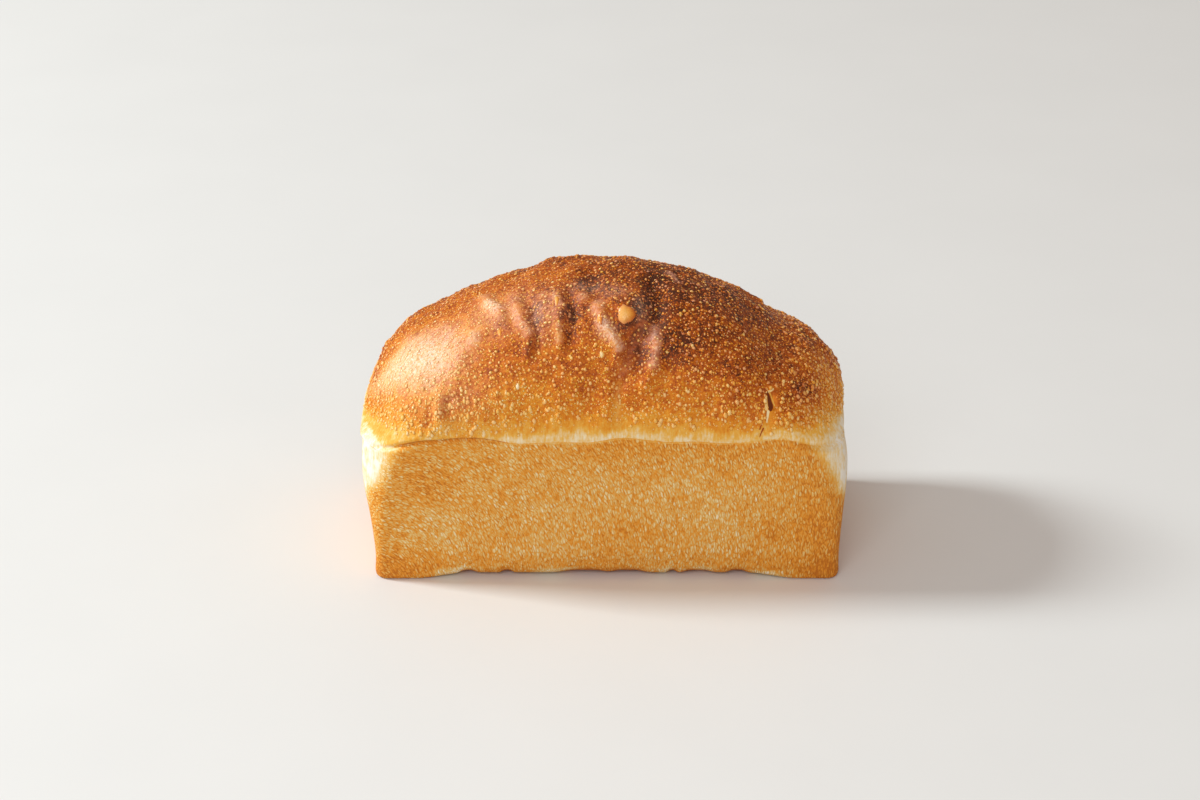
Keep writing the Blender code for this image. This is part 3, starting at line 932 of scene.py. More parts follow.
    def browning(self) -> Array:
        """How far the crust is baked, from 0, pale dough, to 1, dark brown. On the crown it rises from
        the rim to the ridge and then takes the patches. On the tin's faces it is even, with more
        colour towards the edges and corners and a few paler clouds."""
        below, pale = self.below_seam(), self.pale_break()
        baked = self.crown_browning() * (1 - below) + self.tin_browning() * below
        return np.clip(baked * (1 - pale) + self.dough_browning() * pale, 0, 1)

    def crown_browning(self) -> Array:
        """How far the crown is baked: smooth steps up from the rim, each with its height, its start and
        its length in degrees, then patches and noise."""
        crown = self.crown_least + sum(tone.at(self.points) for tone in self.crown_tones)
        for rise, start, length in self.crown_rise:
            crown += rise * rising(self.up_slope(), start, length)
        for patch in PATCHES:
            crown += patch.amount * np.exp(-patch.off(self.x, self.angle))
        return crown

    def tin_browning(self) -> Array:
        """How far the tin's faces are baked: more at the ends, the foot and the top, less where dough
        didn't reach the tin. The extra colour of the ends is smaller at the left end of each long face, as
        one faces it, which is painted light of the key lamp on the front's left end, and painted shade
        darkens the notches, where the foot is lifted off the floor."""
        p, height = self.points, self.points[:, 2] / MM
        # Painted light: the left end of each long face, as one faces it, gets less of the ends' extra
        # colour
        end = rising(np.abs(self.x), 58, 46) * (1 - self.left_end_painted_light * (self.side * self.x > 0))
        foot, top = falling(height, 18, 18), rising(self.above_seam, -20, 20)
        tin = self.tin_level + self.end_darker * end + sum(tone.at(p) for tone in self.tin_tones)
        tin += self.foot_darker * foot * (0.4 + 0.6 * end) + self.top_darker * top * (1 - end)
        for patch in TIN_PATCHES:
            tin += patch.amount * np.exp(-patch.off(self.along_face(), height))
        tin = tin * (1 - self.dough_paler * self.foot_dough())
        # Painted shade in the notches under the lifted foot
        return tin + self.notch_painted_shade * self.form.notch(p) * falling(height, 1.8, 1.2)

    def dough_browning(self) -> Array:
        """How far the torn, pale dough is baked: least at the corners, the left one above all, with
        fibres there, and a little more in the middle of the left end."""
        p, left = self.points, falling(self.x, 30, 60)
        dough = self.dough_level - (self.corner_paler + self.left_paler * left) * self.corner
        dough += self.dough_tone.at(p) + self.corner * self.dough_fibre.at(p)
        end_middle = falling(np.abs(p[:, 1]) / MM, 44, 20) * (np.abs(self.x) > 90)
        return dough + self.end_dough_darker * left * end_middle

    def seam_shade(self) -> Array:
        """How dark the painted shade along the seam's thin line is: strong at the left of the front, faint
        to the right, and gone at the corners."""
        faint = 0.30 * falling(self.x, 66, 20) + 0.08
        strong = falling(self.x, -36, 10) * (self.side < 0)
        line = np.maximum(faint, strong) * rising(self.x, -90, 7)
        return line * (1 - self.corner)

    def blistered(self) -> Array:
        """How thickly blisters stand, 0 to 1: none on smooth skin, on the break or on the tin's faces."""
        rise = self.blisters_from.up(self.up_slope() + self.left_lower * falling(self.x, 0, 60))
        crack = distance_to_path(self.x, self.points[:, 2] / MM, CRACK) + FAR * (self.side > 0)
        rise = rise * rising(crack, self.crack_clear, self.crack_clear)
        return rise * (1 - self.tight_fewer * self.smooth()) * (1 - self.pale_break()) * self.in_crown

    def flow(self) -> Array:
        """Coordinates in millimetres for the streaks of the front, which run along the third. They lie
        on flat arcs round a point low at the left, so they stand upright at the right and lie down
        at the left edge: the coordinates are the reach from that point and the way along the arc."""
        p = self.points / MM
        from_x = self.flow_flatter * (p[:, 0] - self.flow_middle[0])
        from_z = p[:, 2] - self.flow_middle[1]
        reach = np.hypot(from_x, from_z)
        arc = reach * (np.arctan2(from_z, from_x) - self.flow_turn)
        return np.stack([reach, p[:, 1], arc], axis=1)

    def front(self) -> Array:
        """1 on the long front face of the tin's part, 0 on its ends and back."""
        return self.front_from.up(-self.points[:, 1] / MM)


def mesh_from(name: str, points: Array, cells: Array) -> bpy.types.Object:
    """A smooth-shaded mesh object at the origin, filled from arrays.

    Args:
        name: The piece's name.
        points: Vertex places, one row each.
        cells: Faces with the same number of corners, one row each.

    Returns:
        The new object, linked to the scene.
    """
    mesh = bpy.data.meshes.new(name)
    mesh.vertices.add(len(points))
    mesh.vertices.foreach_set("co", np.ascontiguousarray(points, dtype=np.float32).ravel())
    sides = cells.shape[1]
    mesh.loops.add(cells.size)
    mesh.loops.foreach_set("vertex_index", np.ascontiguousarray(cells, dtype=np.int32).ravel())
    mesh.polygons.add(len(cells))
    mesh.polygons.foreach_set("loop_start", np.arange(0, cells.size, sides, dtype=np.int32))
    mesh.update(calc_edges=True)
    mesh.validate()
    mesh.shade_smooth()
    piece = bpy.data.objects.new(name, mesh)
    bpy.context.scene.collection.objects.link(piece)
    return piece


def set_attribute(piece: bpy.types.Object, name: str, values: Array) -> None:
    """Store one number or one vector for each vertex, under a name that the finish reads."""
    kind = "FLOAT_VECTOR" if values.ndim == 2 else "FLOAT"
    attribute = piece.data.attributes.new(name, kind, "POINT")
    key = "vector" if values.ndim == 2 else "value"
    attribute.data.foreach_set(key, np.ascontiguousarray(values, dtype=np.float32).ravel())


def ride_as_loaf(piece: bpy.types.Object) -> None:
    """Hang a piece under the loaf's body, so that it moves with it, and hide the loaf's solid in its place.
    """
    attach(piece, BODY)
    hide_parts(NODE)


@dataclass
class LoafSkin:
    """The whole crust as one closed surface."""

    form: LoafForm
    lattice: BoxLattice = field(default_factory=BoxLattice)
    inset_top: float = 0.0004
    foot_flat: float = 0.00002
    knobs: tuple = ((0.00085, 0.0105, 61), (0.00050, 0.0058, 71))
    knob_fill: float = 0.6
    tight_flatter: float = 0.8
    lump_fade: float = 0.010
    crown_grain: Unevenness = Unevenness(0.00018, 0.0030, 81)
    ripple: Unevenness = Unevenness(0.00016, 0.004, 83, 0.5)
    foot_lumps: tuple = ((Unevenness(0.0006, 0.006, 87), 10, 8), (Unevenness(0.0008, 0.0026, 89), 6, 4))
    points: Array = field(init=False)
    normals: Array = field(init=False)
    cells: Array = field(init=False)
    crust: Crust = field(init=False)

    def plain_points(self) -> tuple:
        """The form without relief, where it is crown, and where it isn't the underside."""
        a, b, w, self.cells = self.lattice.corners()
        in_crown = w > 0
        up = np.maximum(w, 0)
        points = np.where(in_crown[:, None], self.form.crown(a, b, up), self.form.lower(a, b, w))
        return points, in_crown, w > -1

    def vertex_normals(self, points: Array) -> Array:
        """The normals at the vertices: each cell's two diagonals are crossed, and the crosses of the
        cells round a vertex are added and made one long."""
        q = self.cells
        cross = np.cross(points[q[:, 2]] - points[q[:, 0]], points[q[:, 3]] - points[q[:, 1]])
        total = np.zeros_like(points)
        for corner in range(4):
            for axis in range(3):
                total[:, axis] += np.bincount(q[:, corner], cross[:, axis], minlength=len(points))
        return total / np.maximum(np.linalg.norm(total, axis=1, keepdims=True), 1e-12)

    def fine_relief(self, crust: Crust) -> Array:
        """Small unevenness in metres. The crown has scattered knobs of two sizes and a grain, less on
        smooth skin. The tin's faces have shallow ripples, and the foot edge has lumps, which end at a
        height in mm and fade out below it."""
        p = crust.points
        knobs = sum(height * cell_bumps(p, cell, seed, self.knob_fill) for height, cell, seed in self.knobs)
        crown = (1 - self.tight_flatter * crust.smooth()) * crust.in_crown
        crown = crown * (knobs + self.crown_grain.at(p))
        relief = crown * rising(crust.above_seam, 2, 8) + (1 - crust.in_crown) * self.ripple.at(p)
        for lumps, top, fade in self.foot_lumps:
            relief += falling(p[:, 2] / MM, top, fade) * lumps.at(p)
        return relief

    def settle(self, points: Array) -> Array:
        """Stretch the points to fill the box of the solid, a little short of its top and sides, where
        the blisters stand."""
        low, high = (np.array(corner) for corner in CAD_BOX)
        low, high = low + self.inset_top, high - self.inset_top
        low[2] = CAD_BOX[0][2]
        least, most = points.min(axis=0), points.max(axis=0)
        return low + (points - least) / (most - least) * (high - low)

    def build(self) -> bpy.types.Object:
        """Make the skin's mesh and its attributes.

        Returns:
            The skin, without its finish.
        """
        points, in_crown, walls = self.plain_points()
        normals = self.vertex_normals(points)
        crust = Crust(self.form, points, in_crown.astype(float))
        relief = self.form.lumps(points) * rising(points[:, 2], 0.0, self.lump_fade)
        relief += in_crown * self.form.crown_relief(points)
        relief += walls * (self.form.seam_relief(points) + self.form.wall_relief(points))
        relief += walls * self.fine_relief(crust)
        moved = points + normals * relief[:, None]
        self.form.pull_ends(moved)
        self.form.shape_foot(moved)
        moved[:, 2] = np.where(moved[:, 2] < self.foot_flat, 0.0, moved[:, 2])
        self.points = self.settle(moved)
        self.normals = self.vertex_normals(self.points)
        self.crust = crust
        skin = mesh_from("crust_skin", self.points, self.cells)
        # baked also carries painted light at the front's left end and painted shade in the notches; sheen
        # is a painted highlight, and the seam's line is painted shade
        maps = {
            "baked": crust.browning(), "tin_face": crust.below_seam() * (1 - crust.pale_break()),
            "sheen": crust.sheen(), "above_seam": crust.above_seam, "seam_shade": crust.seam_shade(),
            "smooth_skin": crust.smooth(), "speckle": crust.blistered(), "flow": crust.flow(),
            "front_face": crust.front()}
        for name, values in maps.items():
            set_attribute(skin, name, values)
        ride_as_loaf(skin)
        LOG.info("%s: %d cells", skin.name, len(self.cells))
        return skin


def dome_faces(rings: int, sides: int) -> Array:
    """The triangles of one dome: two for each side between rings, a fan to the top point and a fan to
    the point under the dome. The rings' points come first, from the lowest ring up, then these two.

    Args:
        rings: How many rings the dome has.
        sides: How many points a ring has.

    Returns:
        The triangles, a row of three point numbers each.
    """
    k = np.arange(sides)
    after = (k + 1) % sides
    low = (np.arange(rings - 1) * sides)[:, None]
    high, last, top = low + sides, (rings - 1) * sides, rings * sides
    faces = [(low + k, low + after, high + after), (low + k, high + after, high + k),
             (last + k, last + after, np.full(sides, top)), (after, k, np.full(sides, top + 1))]
    return np.concatenate([np.stack(face, axis=-1).reshape(-1, 3) for face in faces])


def across(normals: Array) -> tuple:
    """Two directions at right angles to each normal and to each other: along the loaf, and up it.

    Args:
        normals: Directions one long, a row each.

    Returns:
        The two directions, as arrays like the normals.
    """
    along = np.cross(normals, np.cross(np.array([1.0, 0.0, 0.0]), normals))
    along /= np.maximum(np.linalg.norm(along, axis=-1, keepdims=True), 1e-9)
    return along, np.cross(normals, along)


@dataclass
class Blisters:
    """The small domed blisters of the crown, as one mesh of many closed domes. Low ones are larger and
    longer. The top of each is paler than the crust round it, and a few are much paler. Painted shade
    darkens the foot of each dome, and a painted highlight tints the tops pale cream, more on some."""

    name: str
    cell: float
    least: float
    most: float
    share: float
    seed: int
    sides: int = 6
    sink: float = 0.00008
    lift: float = 0.60
    # painted shade at the foot of each dome
    edge_darker: float = 0.12
    top_paler: float = 0.10
    # how strongly the painted highlight tints a dome's top
    painted_highlight: float = 0.45
    size_power: float = 2.4
    low_larger: float = 0.3
    larger_below: Step = Step(100, 22)
    low_longer: float = 0.5
    longer_below: Step = Step(110, 30)
    paler: tuple = (0.0625, 0.5625)
    much_paler: float = 0.5625
    few: float = 0.30
    golden: float = 0.33
    all_paler: float = 0.02
    palest: float = 0.12
    unevenness: float = 0.13
    profile: tuple = ((1.0, 0.0), (0.70, 0.78))

    def places(self, skin: LoafSkin) -> tuple:
        """Where blisters stand. Each cell of the skin holds a seeded draw. Those that fall into the
        same cubic cell of space are thinned to one, so that no two blisters crowd each other.

        Args:
            skin: The finished skin.

        Returns:
            The numbers of the chosen skin cells and the blend of their corners, a row of four each.
        """
        draw = np.random.default_rng(self.seed)
        q = skin.cells
        count = len(q) * 2
        cell = draw.integers(0, len(q), count)
        u, v = draw.random(count), draw.random(count)
        blend = np.stack([(1 - u) * (1 - v), u * (1 - v), u * v, (1 - u) * v], axis=1)
        chance = (skin.crust.blistered()[q[cell]] * blend).sum(axis=1) * self.share
        keep = draw.random(count) < chance
        cell, blend = cell[keep], blend[keep]
        place = np.einsum("ij,ijk->ik", blend, skin.points[q[cell]])
        block = np.floor(place / self.cell).astype(np.int64)
        key = (block[:, 0] * 4096 + block[:, 1]) * 4096 + block[:, 2]
        first = np.unique(key, return_index=True)[1]
        return cell[first], blend[first]

    def build(self, skin: LoafSkin) -> bpy.types.Object:
        """Make all domes at once. A dome is rings round a centre: each ring is an uneven oval, whose
        radius and height come from the profile, and a middle point closes the top.

        Args:
            skin: The finished skin.

        Returns:
            The piece, without its finish.
        """
        cell, blend = self.places(skin)
        q = skin.cells[cell]
        place = np.einsum("ij,ijk->ik", blend, skin.points[q])
        normal = np.einsum("ij,ijk->ik", blend, skin.normals[q])
        normal /= np.linalg.norm(normal, axis=1, keepdims=True)
        draw = np.random.default_rng(self.seed + 1)
        n = len(place)
        first, second = across(normal)
        size = self.least + (self.most - self.least) * draw.random(n) ** self.size_power
        size = size * (1 + self.low_larger * self.larger_below.down(place[:, 2] / MM))
        low = self.longer_below.down(skin.points[q[:, 0], 2] / MM)
        stretch = 1 + self.low_longer * draw.random(n) * low
        turn = draw.uniform(0, 2 * math.pi, n)
        round_angle = np.arange(self.sides) * 2 * math.pi / self.sides
        uneven = 1 + self.unevenness * np.cos(2 * round_angle[None] + turn[:, None])
        rings = []
        for radius, height in self.profile:
            flat = size[:, None] * uneven * radius
            out = (first[:, None] * (flat * np.cos(round_angle))[..., None]
                   + second[:, None] * (flat * stretch[:, None] * np.sin(round_angle))[..., None])
            level = size * self.lift * height - self.sink
            rings.append(place[:, None] + out + normal[:, None] * level[:, None, None])
        top = place + normal * (size * self.lift - self.sink)[:, None]
        floor = place - normal * (self.sink * 2)
        points = np.concatenate([np.concatenate(rings, axis=1), top[:, None], floor[:, None]], axis=1)
        faces = dome_faces(len(self.profile), self.sides)
        cells = (faces[None] + (np.arange(n) * points.shape[1])[:, None, None]).reshape(-1, 3)
        piece = mesh_from(self.name, points.reshape(-1, 3), cells)
        baked = (skin.crust.browning()[q] * blend).sum(axis=1)
        paler = draw.uniform(*self.paler, n) + self.much_paler * (draw.random(n) < self.few)
        tone = baked - paler * np.maximum(baked - self.golden, 0) - self.all_paler
        # Painted shade darkens the rings towards each dome's foot; the top point is paler
        shade = [self.edge_darker * (1 - height) for _, height in self.profile]
        shade = np.concatenate([np.repeat(shade, self.sides), [-self.top_paler, self.edge_darker]])
        set_attribute(piece, "baked", np.clip(tone[:, None] + shade[None], self.palest, 1).ravel())
        # Painted highlight: pale cream towards each dome's top, by a random amount
        painted_highlight = np.concatenate([np.repeat([height for _, height in self.profile], self.sides), [1, 0]])
        painted_highlight = (self.painted_highlight * draw.random(n))[:, None] * painted_highlight[None]
        sheen = (skin.crust.sheen()[q] * blend).sum(axis=1)[:, None] + painted_highlight
        set_attribute(piece, "sheen", np.clip(sheen, 0, 1).ravel())
        ride_as_loaf(piece)
        LOG.info("%s: %d domes", self.name, n)
        return piece


@dataclass
class LargeBlisters:
    """The few large blisters, each a closed dome of rings round a centre, with painted shade on its right
    side and a painted highlight on its left.
    """

    rings: int = 9
    sides: int = 28
    sink: float = 0.00035
    roundness: float = 2.4
    outline: tuple = ((0.10, 2, 1), (0.09, 3, 2), (0.04, 7, 0))
    front_under: float = 85.0
    edge_darker: float = 0.24
    # painted shade on the right side, away from the key light
    right_painted_shade: float = 0.10
    # painted highlight on the left side
    painted_highlight: float = 0.16

    def dome(self) -> Array:
        """The points of a dome of radius and height 1: the height is one minus the reach to a power,
        under a root. The top point and the one under the dome come last."""
        reach = np.sin(np.linspace(0.5, 0, self.rings, endpoint=False) * math.pi)
        turn = np.arange(self.sides) * 2 * math.pi / self.sides
        height = (1 - reach ** self.roundness) ** 0.8
        x, y = np.outer(reach, np.cos(turn)), np.outer(reach, np.sin(turn))
        z = np.repeat(height[:, None], self.sides, axis=1)
        return np.concatenate([np.stack([x, y, z], axis=-1).reshape(-1, 3), [[0, 0, 1], [0, 0, 0]]])

    def build(self, skin: LoafSkin) -> bpy.types.Object:
        """Set a dome at each listed place, turned to the skin's normal there. Waves round it make its
        outline uneven: each has its depth, its number round the dome and its shift from one dome to
        the next.

        Args:
            skin: The finished skin.

        Returns:
            The piece, without its finish.
        """
        dome, faces = self.dome(), dome_faces(self.rings, self.sides)
        turn = np.arctan2(dome[:, 1], dome[:, 0])
        points, cells, tones, painted_highlights = [], [], [], []
        for i, blister in enumerate(BIG_BLISTERS):
            off = np.hypot(skin.crust.x - blister.x, skin.crust.angle - blister.angle)
            off = off + FAR * (skin.crust.in_crown < 1)
            off = off + FAR * (skin.crust.side > 0) * (blister.angle < self.front_under)
            near = int(np.argmin(off))
            normal = skin.normals[near]
            along, up = across(normal)
            uneven = 1.0
            for depth, waves, shift in self.outline:
                uneven = uneven + depth * np.cos(waves * turn + shift * i)
            flat_x = dome[:, 0] * uneven * blister.half_x * MM
            flat_up = dome[:, 1] * uneven * blister.half_up * MM
            lift = dome[:, 2] * blister.height * MM - self.sink
            points.append(skin.points[near] + flat_x[:, None] * along + flat_up[:, None] * up
                          + lift[:, None] * normal)
            cells.append(faces + i * len(dome))
            reach = np.hypot(dome[:, 0], dome[:, 1])
            # Painted shade darkens the right side and a painted highlight pales the left, as the key light
            # falls from the left
            tones.append(blister.baked + self.edge_darker * reach ** 3 + self.right_painted_shade * dome[:, 0])
            painted_highlights.append(self.painted_highlight * (1 - dome[:, 0]))
        piece = mesh_from("large_blisters", np.concatenate(points), np.concatenate(cells))
        set_attribute(piece, "baked", np.concatenate(tones))
        set_attribute(piece, "sheen", np.concatenate(painted_highlights))
        ride_as_loaf(piece)
        LOG.info("%s: %d domes", piece.name, len(BIG_BLISTERS))
        return piece


@dataclass(frozen=True)
class Stop:
    """A colour of the crust at one degree of baking, as linear red, green and blue."""

    at: float
    colour: tuple


class Value:
    """A number, place or colour in a material. Arithmetic on a number adds Math nodes."""

    def __init__(self, sheet: "NodeSheet", socket: bpy.types.NodeSocket) -> None:
        """Hold the output of a node that gives the value."""
        self.sheet, self.socket = sheet, socket

    def math(self, kind: str, other: object = 0.0, clamp: bool = False) -> "Value":
        """The result of a Math node on this number and another."""
        return self.sheet.read("Math", {0: self, 1: other}, operation=kind, use_clamp=clamp)

    def __add__(self, other: object) -> "Value":
        """This number plus another."""
        return self.math("ADD", other)

    def __sub__(self, other: object) -> "Value":
        """This number less another."""
        return self.math("SUBTRACT", other)

    def __mul__(self, other: object) -> "Value":
        """This number times another."""
        return self.math("MULTIPLY", other)

    def __truediv__(self, other: object) -> "Value":
        """This number divided by another."""
        return self.math("DIVIDE", other)

    def step(self, low: float, high: float) -> "Value":
        """A smooth step of this number from 0 at low to 1 at high."""
        return self.sheet.read("MapRange", {"Value": self, "From Min": low, "From Max": high}, "Result",
                               interpolation_type="SMOOTHSTEP")

    def blend(self, first: object, second: object) -> "Value":
        """A number that goes from the first to the second as this one goes from 0 to 1."""
        return self.sheet.read("Mix", {0: self, 2: first, 3: second}, data_type="FLOAT")

    def tint(self, first: object, second: object) -> "Value":
        """A colour that goes from the first to the second as this number goes from 0 to 1."""
        return self.sheet.read("Mix", {0: self, 6: first, 7: second}, 2, data_type="RGBA")

    def vector(self, kind: str, other: object, output: object = 0) -> "Value":
        """The result of a VectorMath node on this place and another."""
        return self.sheet.read("VectorMath", {0: self, 1: other}, output, operation=kind)


class NodeSheet:
    """A short way to lay out the nodes of one material."""

    def __init__(self, name: str) -> None:
        """Start a material without any node."""
        self.material = bpy.data.materials.new(name)
        self.material.use_nodes = True
        self.tree = self.material.node_tree
        self.tree.nodes.clear()

    def add(self, kind: str, inputs: dict | None = None, **settings: object) -> bpy.types.Node:
        """Add a node, set its options and fill or link its inputs.

        Args:
            kind: The node's type, without its ShaderNode prefix.
            inputs: Input name or number to a plain value or to the value of another node.
            settings: Options of the node itself.

        Returns:
            The node.
        """
        node = self.tree.nodes.new("ShaderNode" + kind)
        for key, value in settings.items():
            setattr(node, key, value)
        for key, value in (inputs or {}).items():
            if isinstance(value, Value):
                self.tree.links.new(value.socket, node.inputs[key])
            else:
                node.inputs[key].default_value = value
        return node

    def read(self, kind: str, inputs: dict | None = None, output: object = 0, **settings: object) -> Value:
        """One output, by name or number, of a new node that is made as add makes it."""
        return Value(self, self.add(kind, inputs, **settings).outputs[output])

    def noise(self, place: Value, scale: float, detail: float, roughness: float = 0.5,
              output: str = "Fac") -> Value:
        """A cloudy noise, about 0.5 in the mean."""
        inputs = {"Vector": place, "Scale": scale, "Detail": detail, "Roughness": roughness}
        return self.read("TexNoise", inputs, output)

    def spots(self, place: Value, scale: float) -> tuple:
        """Cells round scattered middles: the distance from the middle, and a number for each cell."""
        node = self.add("TexVoronoi", {"Vector": place, "Scale": scale})
        return Value(self, node.outputs["Distance"]), Value(self, node.outputs["Color"])

    def ramp(self, value: Value, stops: tuple) -> Value:
        """Colours read along a value."""
        node = self.add("ValToRGB", {0: value})
        elements = node.color_ramp.elements
        while len(elements) < len(stops):
            elements.new(0.5)
        for element, stop in zip(elements, stops):
            element.position = stop.at
            element.color = (*stop.colour, 1.0)
        return Value(self, node.outputs["Color"])

    def attribute(self, name: str, output: str = "Fac") -> Value:
        """A number, or with the output Vector a place, that is stored on the piece."""
        return self.read("Attribute", None, output, attribute_name=name)

    def place(self, scale: float) -> Value:
        """Object coordinates times a scale."""
        return self.read("TexCoord", None, "Object").vector("MULTIPLY", (scale, scale, scale))

    def finish(self, inputs: dict) -> bpy.types.Material:
        """Link a shader with these inputs to the material's output and give the material."""
        output = self.add("OutputMaterial")
        self.tree.links.new(self.read("BsdfPrincipled", inputs).socket, output.inputs["Surface"])
        return self.material


@dataclass(frozen=True)
class CrustFinish:
    """Baked crust: colours from pale dough to dark brown, specks, streaks and a soft gloss, with a painted
    sheen highlight and painted shade along the seam and in the crack. Cells are given as their number
    to the millimetre along the three coordinates."""

    name: str = "baked_crust"
    # The colour of the painted sheen highlight, a pale pink
    sheen_colour: tuple = (0.97, 0.76, 0.62, 1.0)
    stops: tuple = (
        Stop(0.00, (0.92, 0.86, 0.75)),
        Stop(0.14, (0.88, 0.69, 0.39)),
        Stop(0.30, (0.84, 0.46, 0.075)),
        Stop(0.45, (0.80, 0.31, 0.018)),
        Stop(0.60, (0.66, 0.175, 0.006)),
        Stop(0.75, (0.43, 0.078, 0.003)),
        Stop(0.90, (0.13, 0.026, 0.005)),
        Stop(1.00, (0.06, 0.014, 0.004)),
    )
    tin_stops: tuple = (
        Stop(0.00, (0.92, 0.86, 0.75)),
        Stop(0.16, (0.88, 0.70, 0.38)),
        Stop(0.30, (0.81, 0.56, 0.21)),
        Stop(0.42, (0.77, 0.42, 0.095)),
        Stop(0.55, (0.80, 0.305, 0.024)),
        Stop(0.75, (0.56, 0.165, 0.012)),
    )
    wobble: float = 0.9
    small_cells: tuple = (0.85, 0.85, 0.34)
    oval_cells: tuple = (0.36, 0.36, 0.20)
    fibre_cells: tuple = (1.3, 1.3, 0.36)
    upright_cells: tuple = (1.2, 1.2, 0.26)
    fibre_light: float = 2.2
    cloud: float = 0.50
    mottle: float = 0.64
    dot_paler: float = 0.30
    speckle_darker: float = 0.12
    upright_fibre: float = 0.42
    sheen_paler: float = 0.15
    # How dark the painted shade along the seam makes the crust
    seam_shade_level: float = 0.74
    tin_darker: float = 0.175
    streak_paler: float = 0.36
    oval_paler: float = 0.08
    tin_cloud: float = 0.45
    crown_roughness: float = 0.52
    tight_roughness: float = 0.36
    tin_roughness: float = 0.62
    specular: float = 0.26

    def streaks(self, sheet: NodeSheet, place: Value) -> tuple:
        """The light oval cells of the tin's faces, drawn out along the third coordinate.

        Args:
            sheet: The material's sheet.
            place: Coordinates in millimetres.

        Returns:
            Two values: how light the small cells are, and where the few larger ovals lie.
        """
        wobble = sheet.noise(place, 0.5, 2.0, output="Color")
        moved = sheet.read("VectorMath", {0: wobble, 1: (self.wobble,) * 3, 2: place},
                           operation="MULTIPLY_ADD")
        small = moved.vector("MULTIPLY", self.small_cells)
        tone = sheet.spots(small, 1.0)[1].step(0.0, 1.0)
        edges = sheet.read("TexVoronoi", {"Vector": small, "Scale": 1.0}, "Distance",
                           feature="DISTANCE_TO_EDGE")
        fibre = sheet.noise(place.vector("MULTIPLY", self.fibre_cells), 1.0, 3.0)
        light = edges.step(0.0, 0.26) * tone.blend(0.35, 0.95) + (fibre - 0.5) * self.fibre_light
        middle, chosen = sheet.spots(moved.vector("MULTIPLY", self.oval_cells), 1.0)
        return light, middle.step(0.42, 0.22) * chosen.step(0.62, 0.70)

    def seam_shade(self, sheet: NodeSheet, level: Value) -> Value:
        """Paint shade as a thin dark line where the height above the seam is next to nothing."""
        off = (sheet.attribute("above_seam") - 0.1).math("ABSOLUTE")
        return (off.step(0.42, 0.12) * sheet.attribute("seam_shade")).blend(level, self.seam_shade_level)

    def marks(self, sheet: NodeSheet, place: Value, level: Value) -> Value:
        """Draw the strokes of the front: the crack's pale edges, painted shade in the crack and in small
        creases and a pit, and a painted highlight on the crack's right edge. A stroke covers the points
        whose distance from its straight line is under a width that goes evenly from one end's to the
        other's.

        Args:
            sheet: The material's sheet.
            place: Coordinates in millimetres.
            level: The degree of baking so far.

        Returns:
            The degree of baking with the strokes.
        """
        front = sheet.read("SeparateXYZ", {0: place}, "Y").step(0.0, -4.0)
        flat = place.vector("MULTIPLY", (1.0, 0.0, 1.0))
        for mark in MARKS:
            run = (mark.end[0] - mark.start[0], 0.0, mark.end[1] - mark.start[1])
            square = run[0] ** 2 + run[2] ** 2
            away = flat.vector("SUBTRACT", (mark.start[0], 0.0, mark.start[1]))
            along = away.vector("DOT_PRODUCT", tuple(r / square for r in run), "Value")
            along = along.math("MULTIPLY", 1.0, clamp=True)
            foot = sheet.read("VectorMath", {0: run, "Scale": along}, operation="SCALE")
            share = away.vector("DISTANCE", foot, "Value") / along.blend(mark.half_start, mark.half_end)
            level = (share.step(1.15, 0.75) * front).blend(level, mark.level)
        return level

    def make(self) -> bpy.types.Material:
        """Lay out the nodes.

        Returns:
            The material.
        """
        sheet = NodeSheet(self.name)
        baked, sheen, speckle, smooth, tin, front = (sheet.attribute(name) for name in (
            "baked", "sheen", "speckle", "smooth_skin", "tin_face", "front_face"))
        place = sheet.place(1 / MM)
        grain = sheet.noise(place, 1.3, 3.0)
        clouds = (sheet.noise(place, 0.30, 5.0, 0.6) - 0.5) * self.cloud
        mottle = (sheet.noise(place, 0.95, 4.0, 0.65) - 0.5) * self.mottle
        middle, chosen = sheet.spots(place, 0.80)
        dots = middle.step(0.46, 0.18) * chosen.step(0.35, 0.45) * speckle
        upright = sheet.noise(place.vector("MULTIPLY", self.upright_cells), 1.0, 3.0) - 0.5
        upright = upright * (sheet.attribute("above_seam").step(20.0, 4.0) * self.upright_fibre)
        level = baked + clouds + mottle * speckle - dots * self.dot_paler + speckle * self.speckle_darker
        # The painted sheen highlight makes the crust paler here and tints it pale pink below, in patches
        level = level + upright - sheen * self.sheen_paler
        # Painted shade along the seam's line, then the drawn marks
        level = self.marks(sheet, place, self.seam_shade(sheet, level))
        patchy = mottle.step(-0.08, 0.08).blend(0.86, 0.26)
        crown = (sheen * patchy).tint(sheet.ramp(level, self.stops), self.sheen_colour)
        front_light, front_oval = self.streaks(sheet, sheet.attribute("flow", "Vector"))
        other_light, other_oval = self.streaks(sheet, place)
        light, oval = front.blend(other_light, front_light), front.blend(other_oval, front_oval)
        level = baked + self.tin_darker - light * self.streak_paler - oval * self.oval_paler
        level = level + clouds * self.tin_cloud
        colour = tin.tint(crown, sheet.ramp(level, self.tin_stops))
        rough = smooth.blend(self.crown_roughness, self.tight_roughness)
        rough = tin.blend(rough, self.tin_roughness) + grain * 0.10
        height = (dots * 0.28 + grain * 0.22 + light * tin * 0.16) * smooth.blend(1.0, 0.75)
        bump = sheet.read("Bump", {"Height": height, "Strength": 0.9, "Distance": 0.001})
        return sheet.finish({"Base Color": colour, "Roughness": rough, "Normal": bump,
                             "Specular IOR Level": self.specular, "IOR": CRUST_IOR})


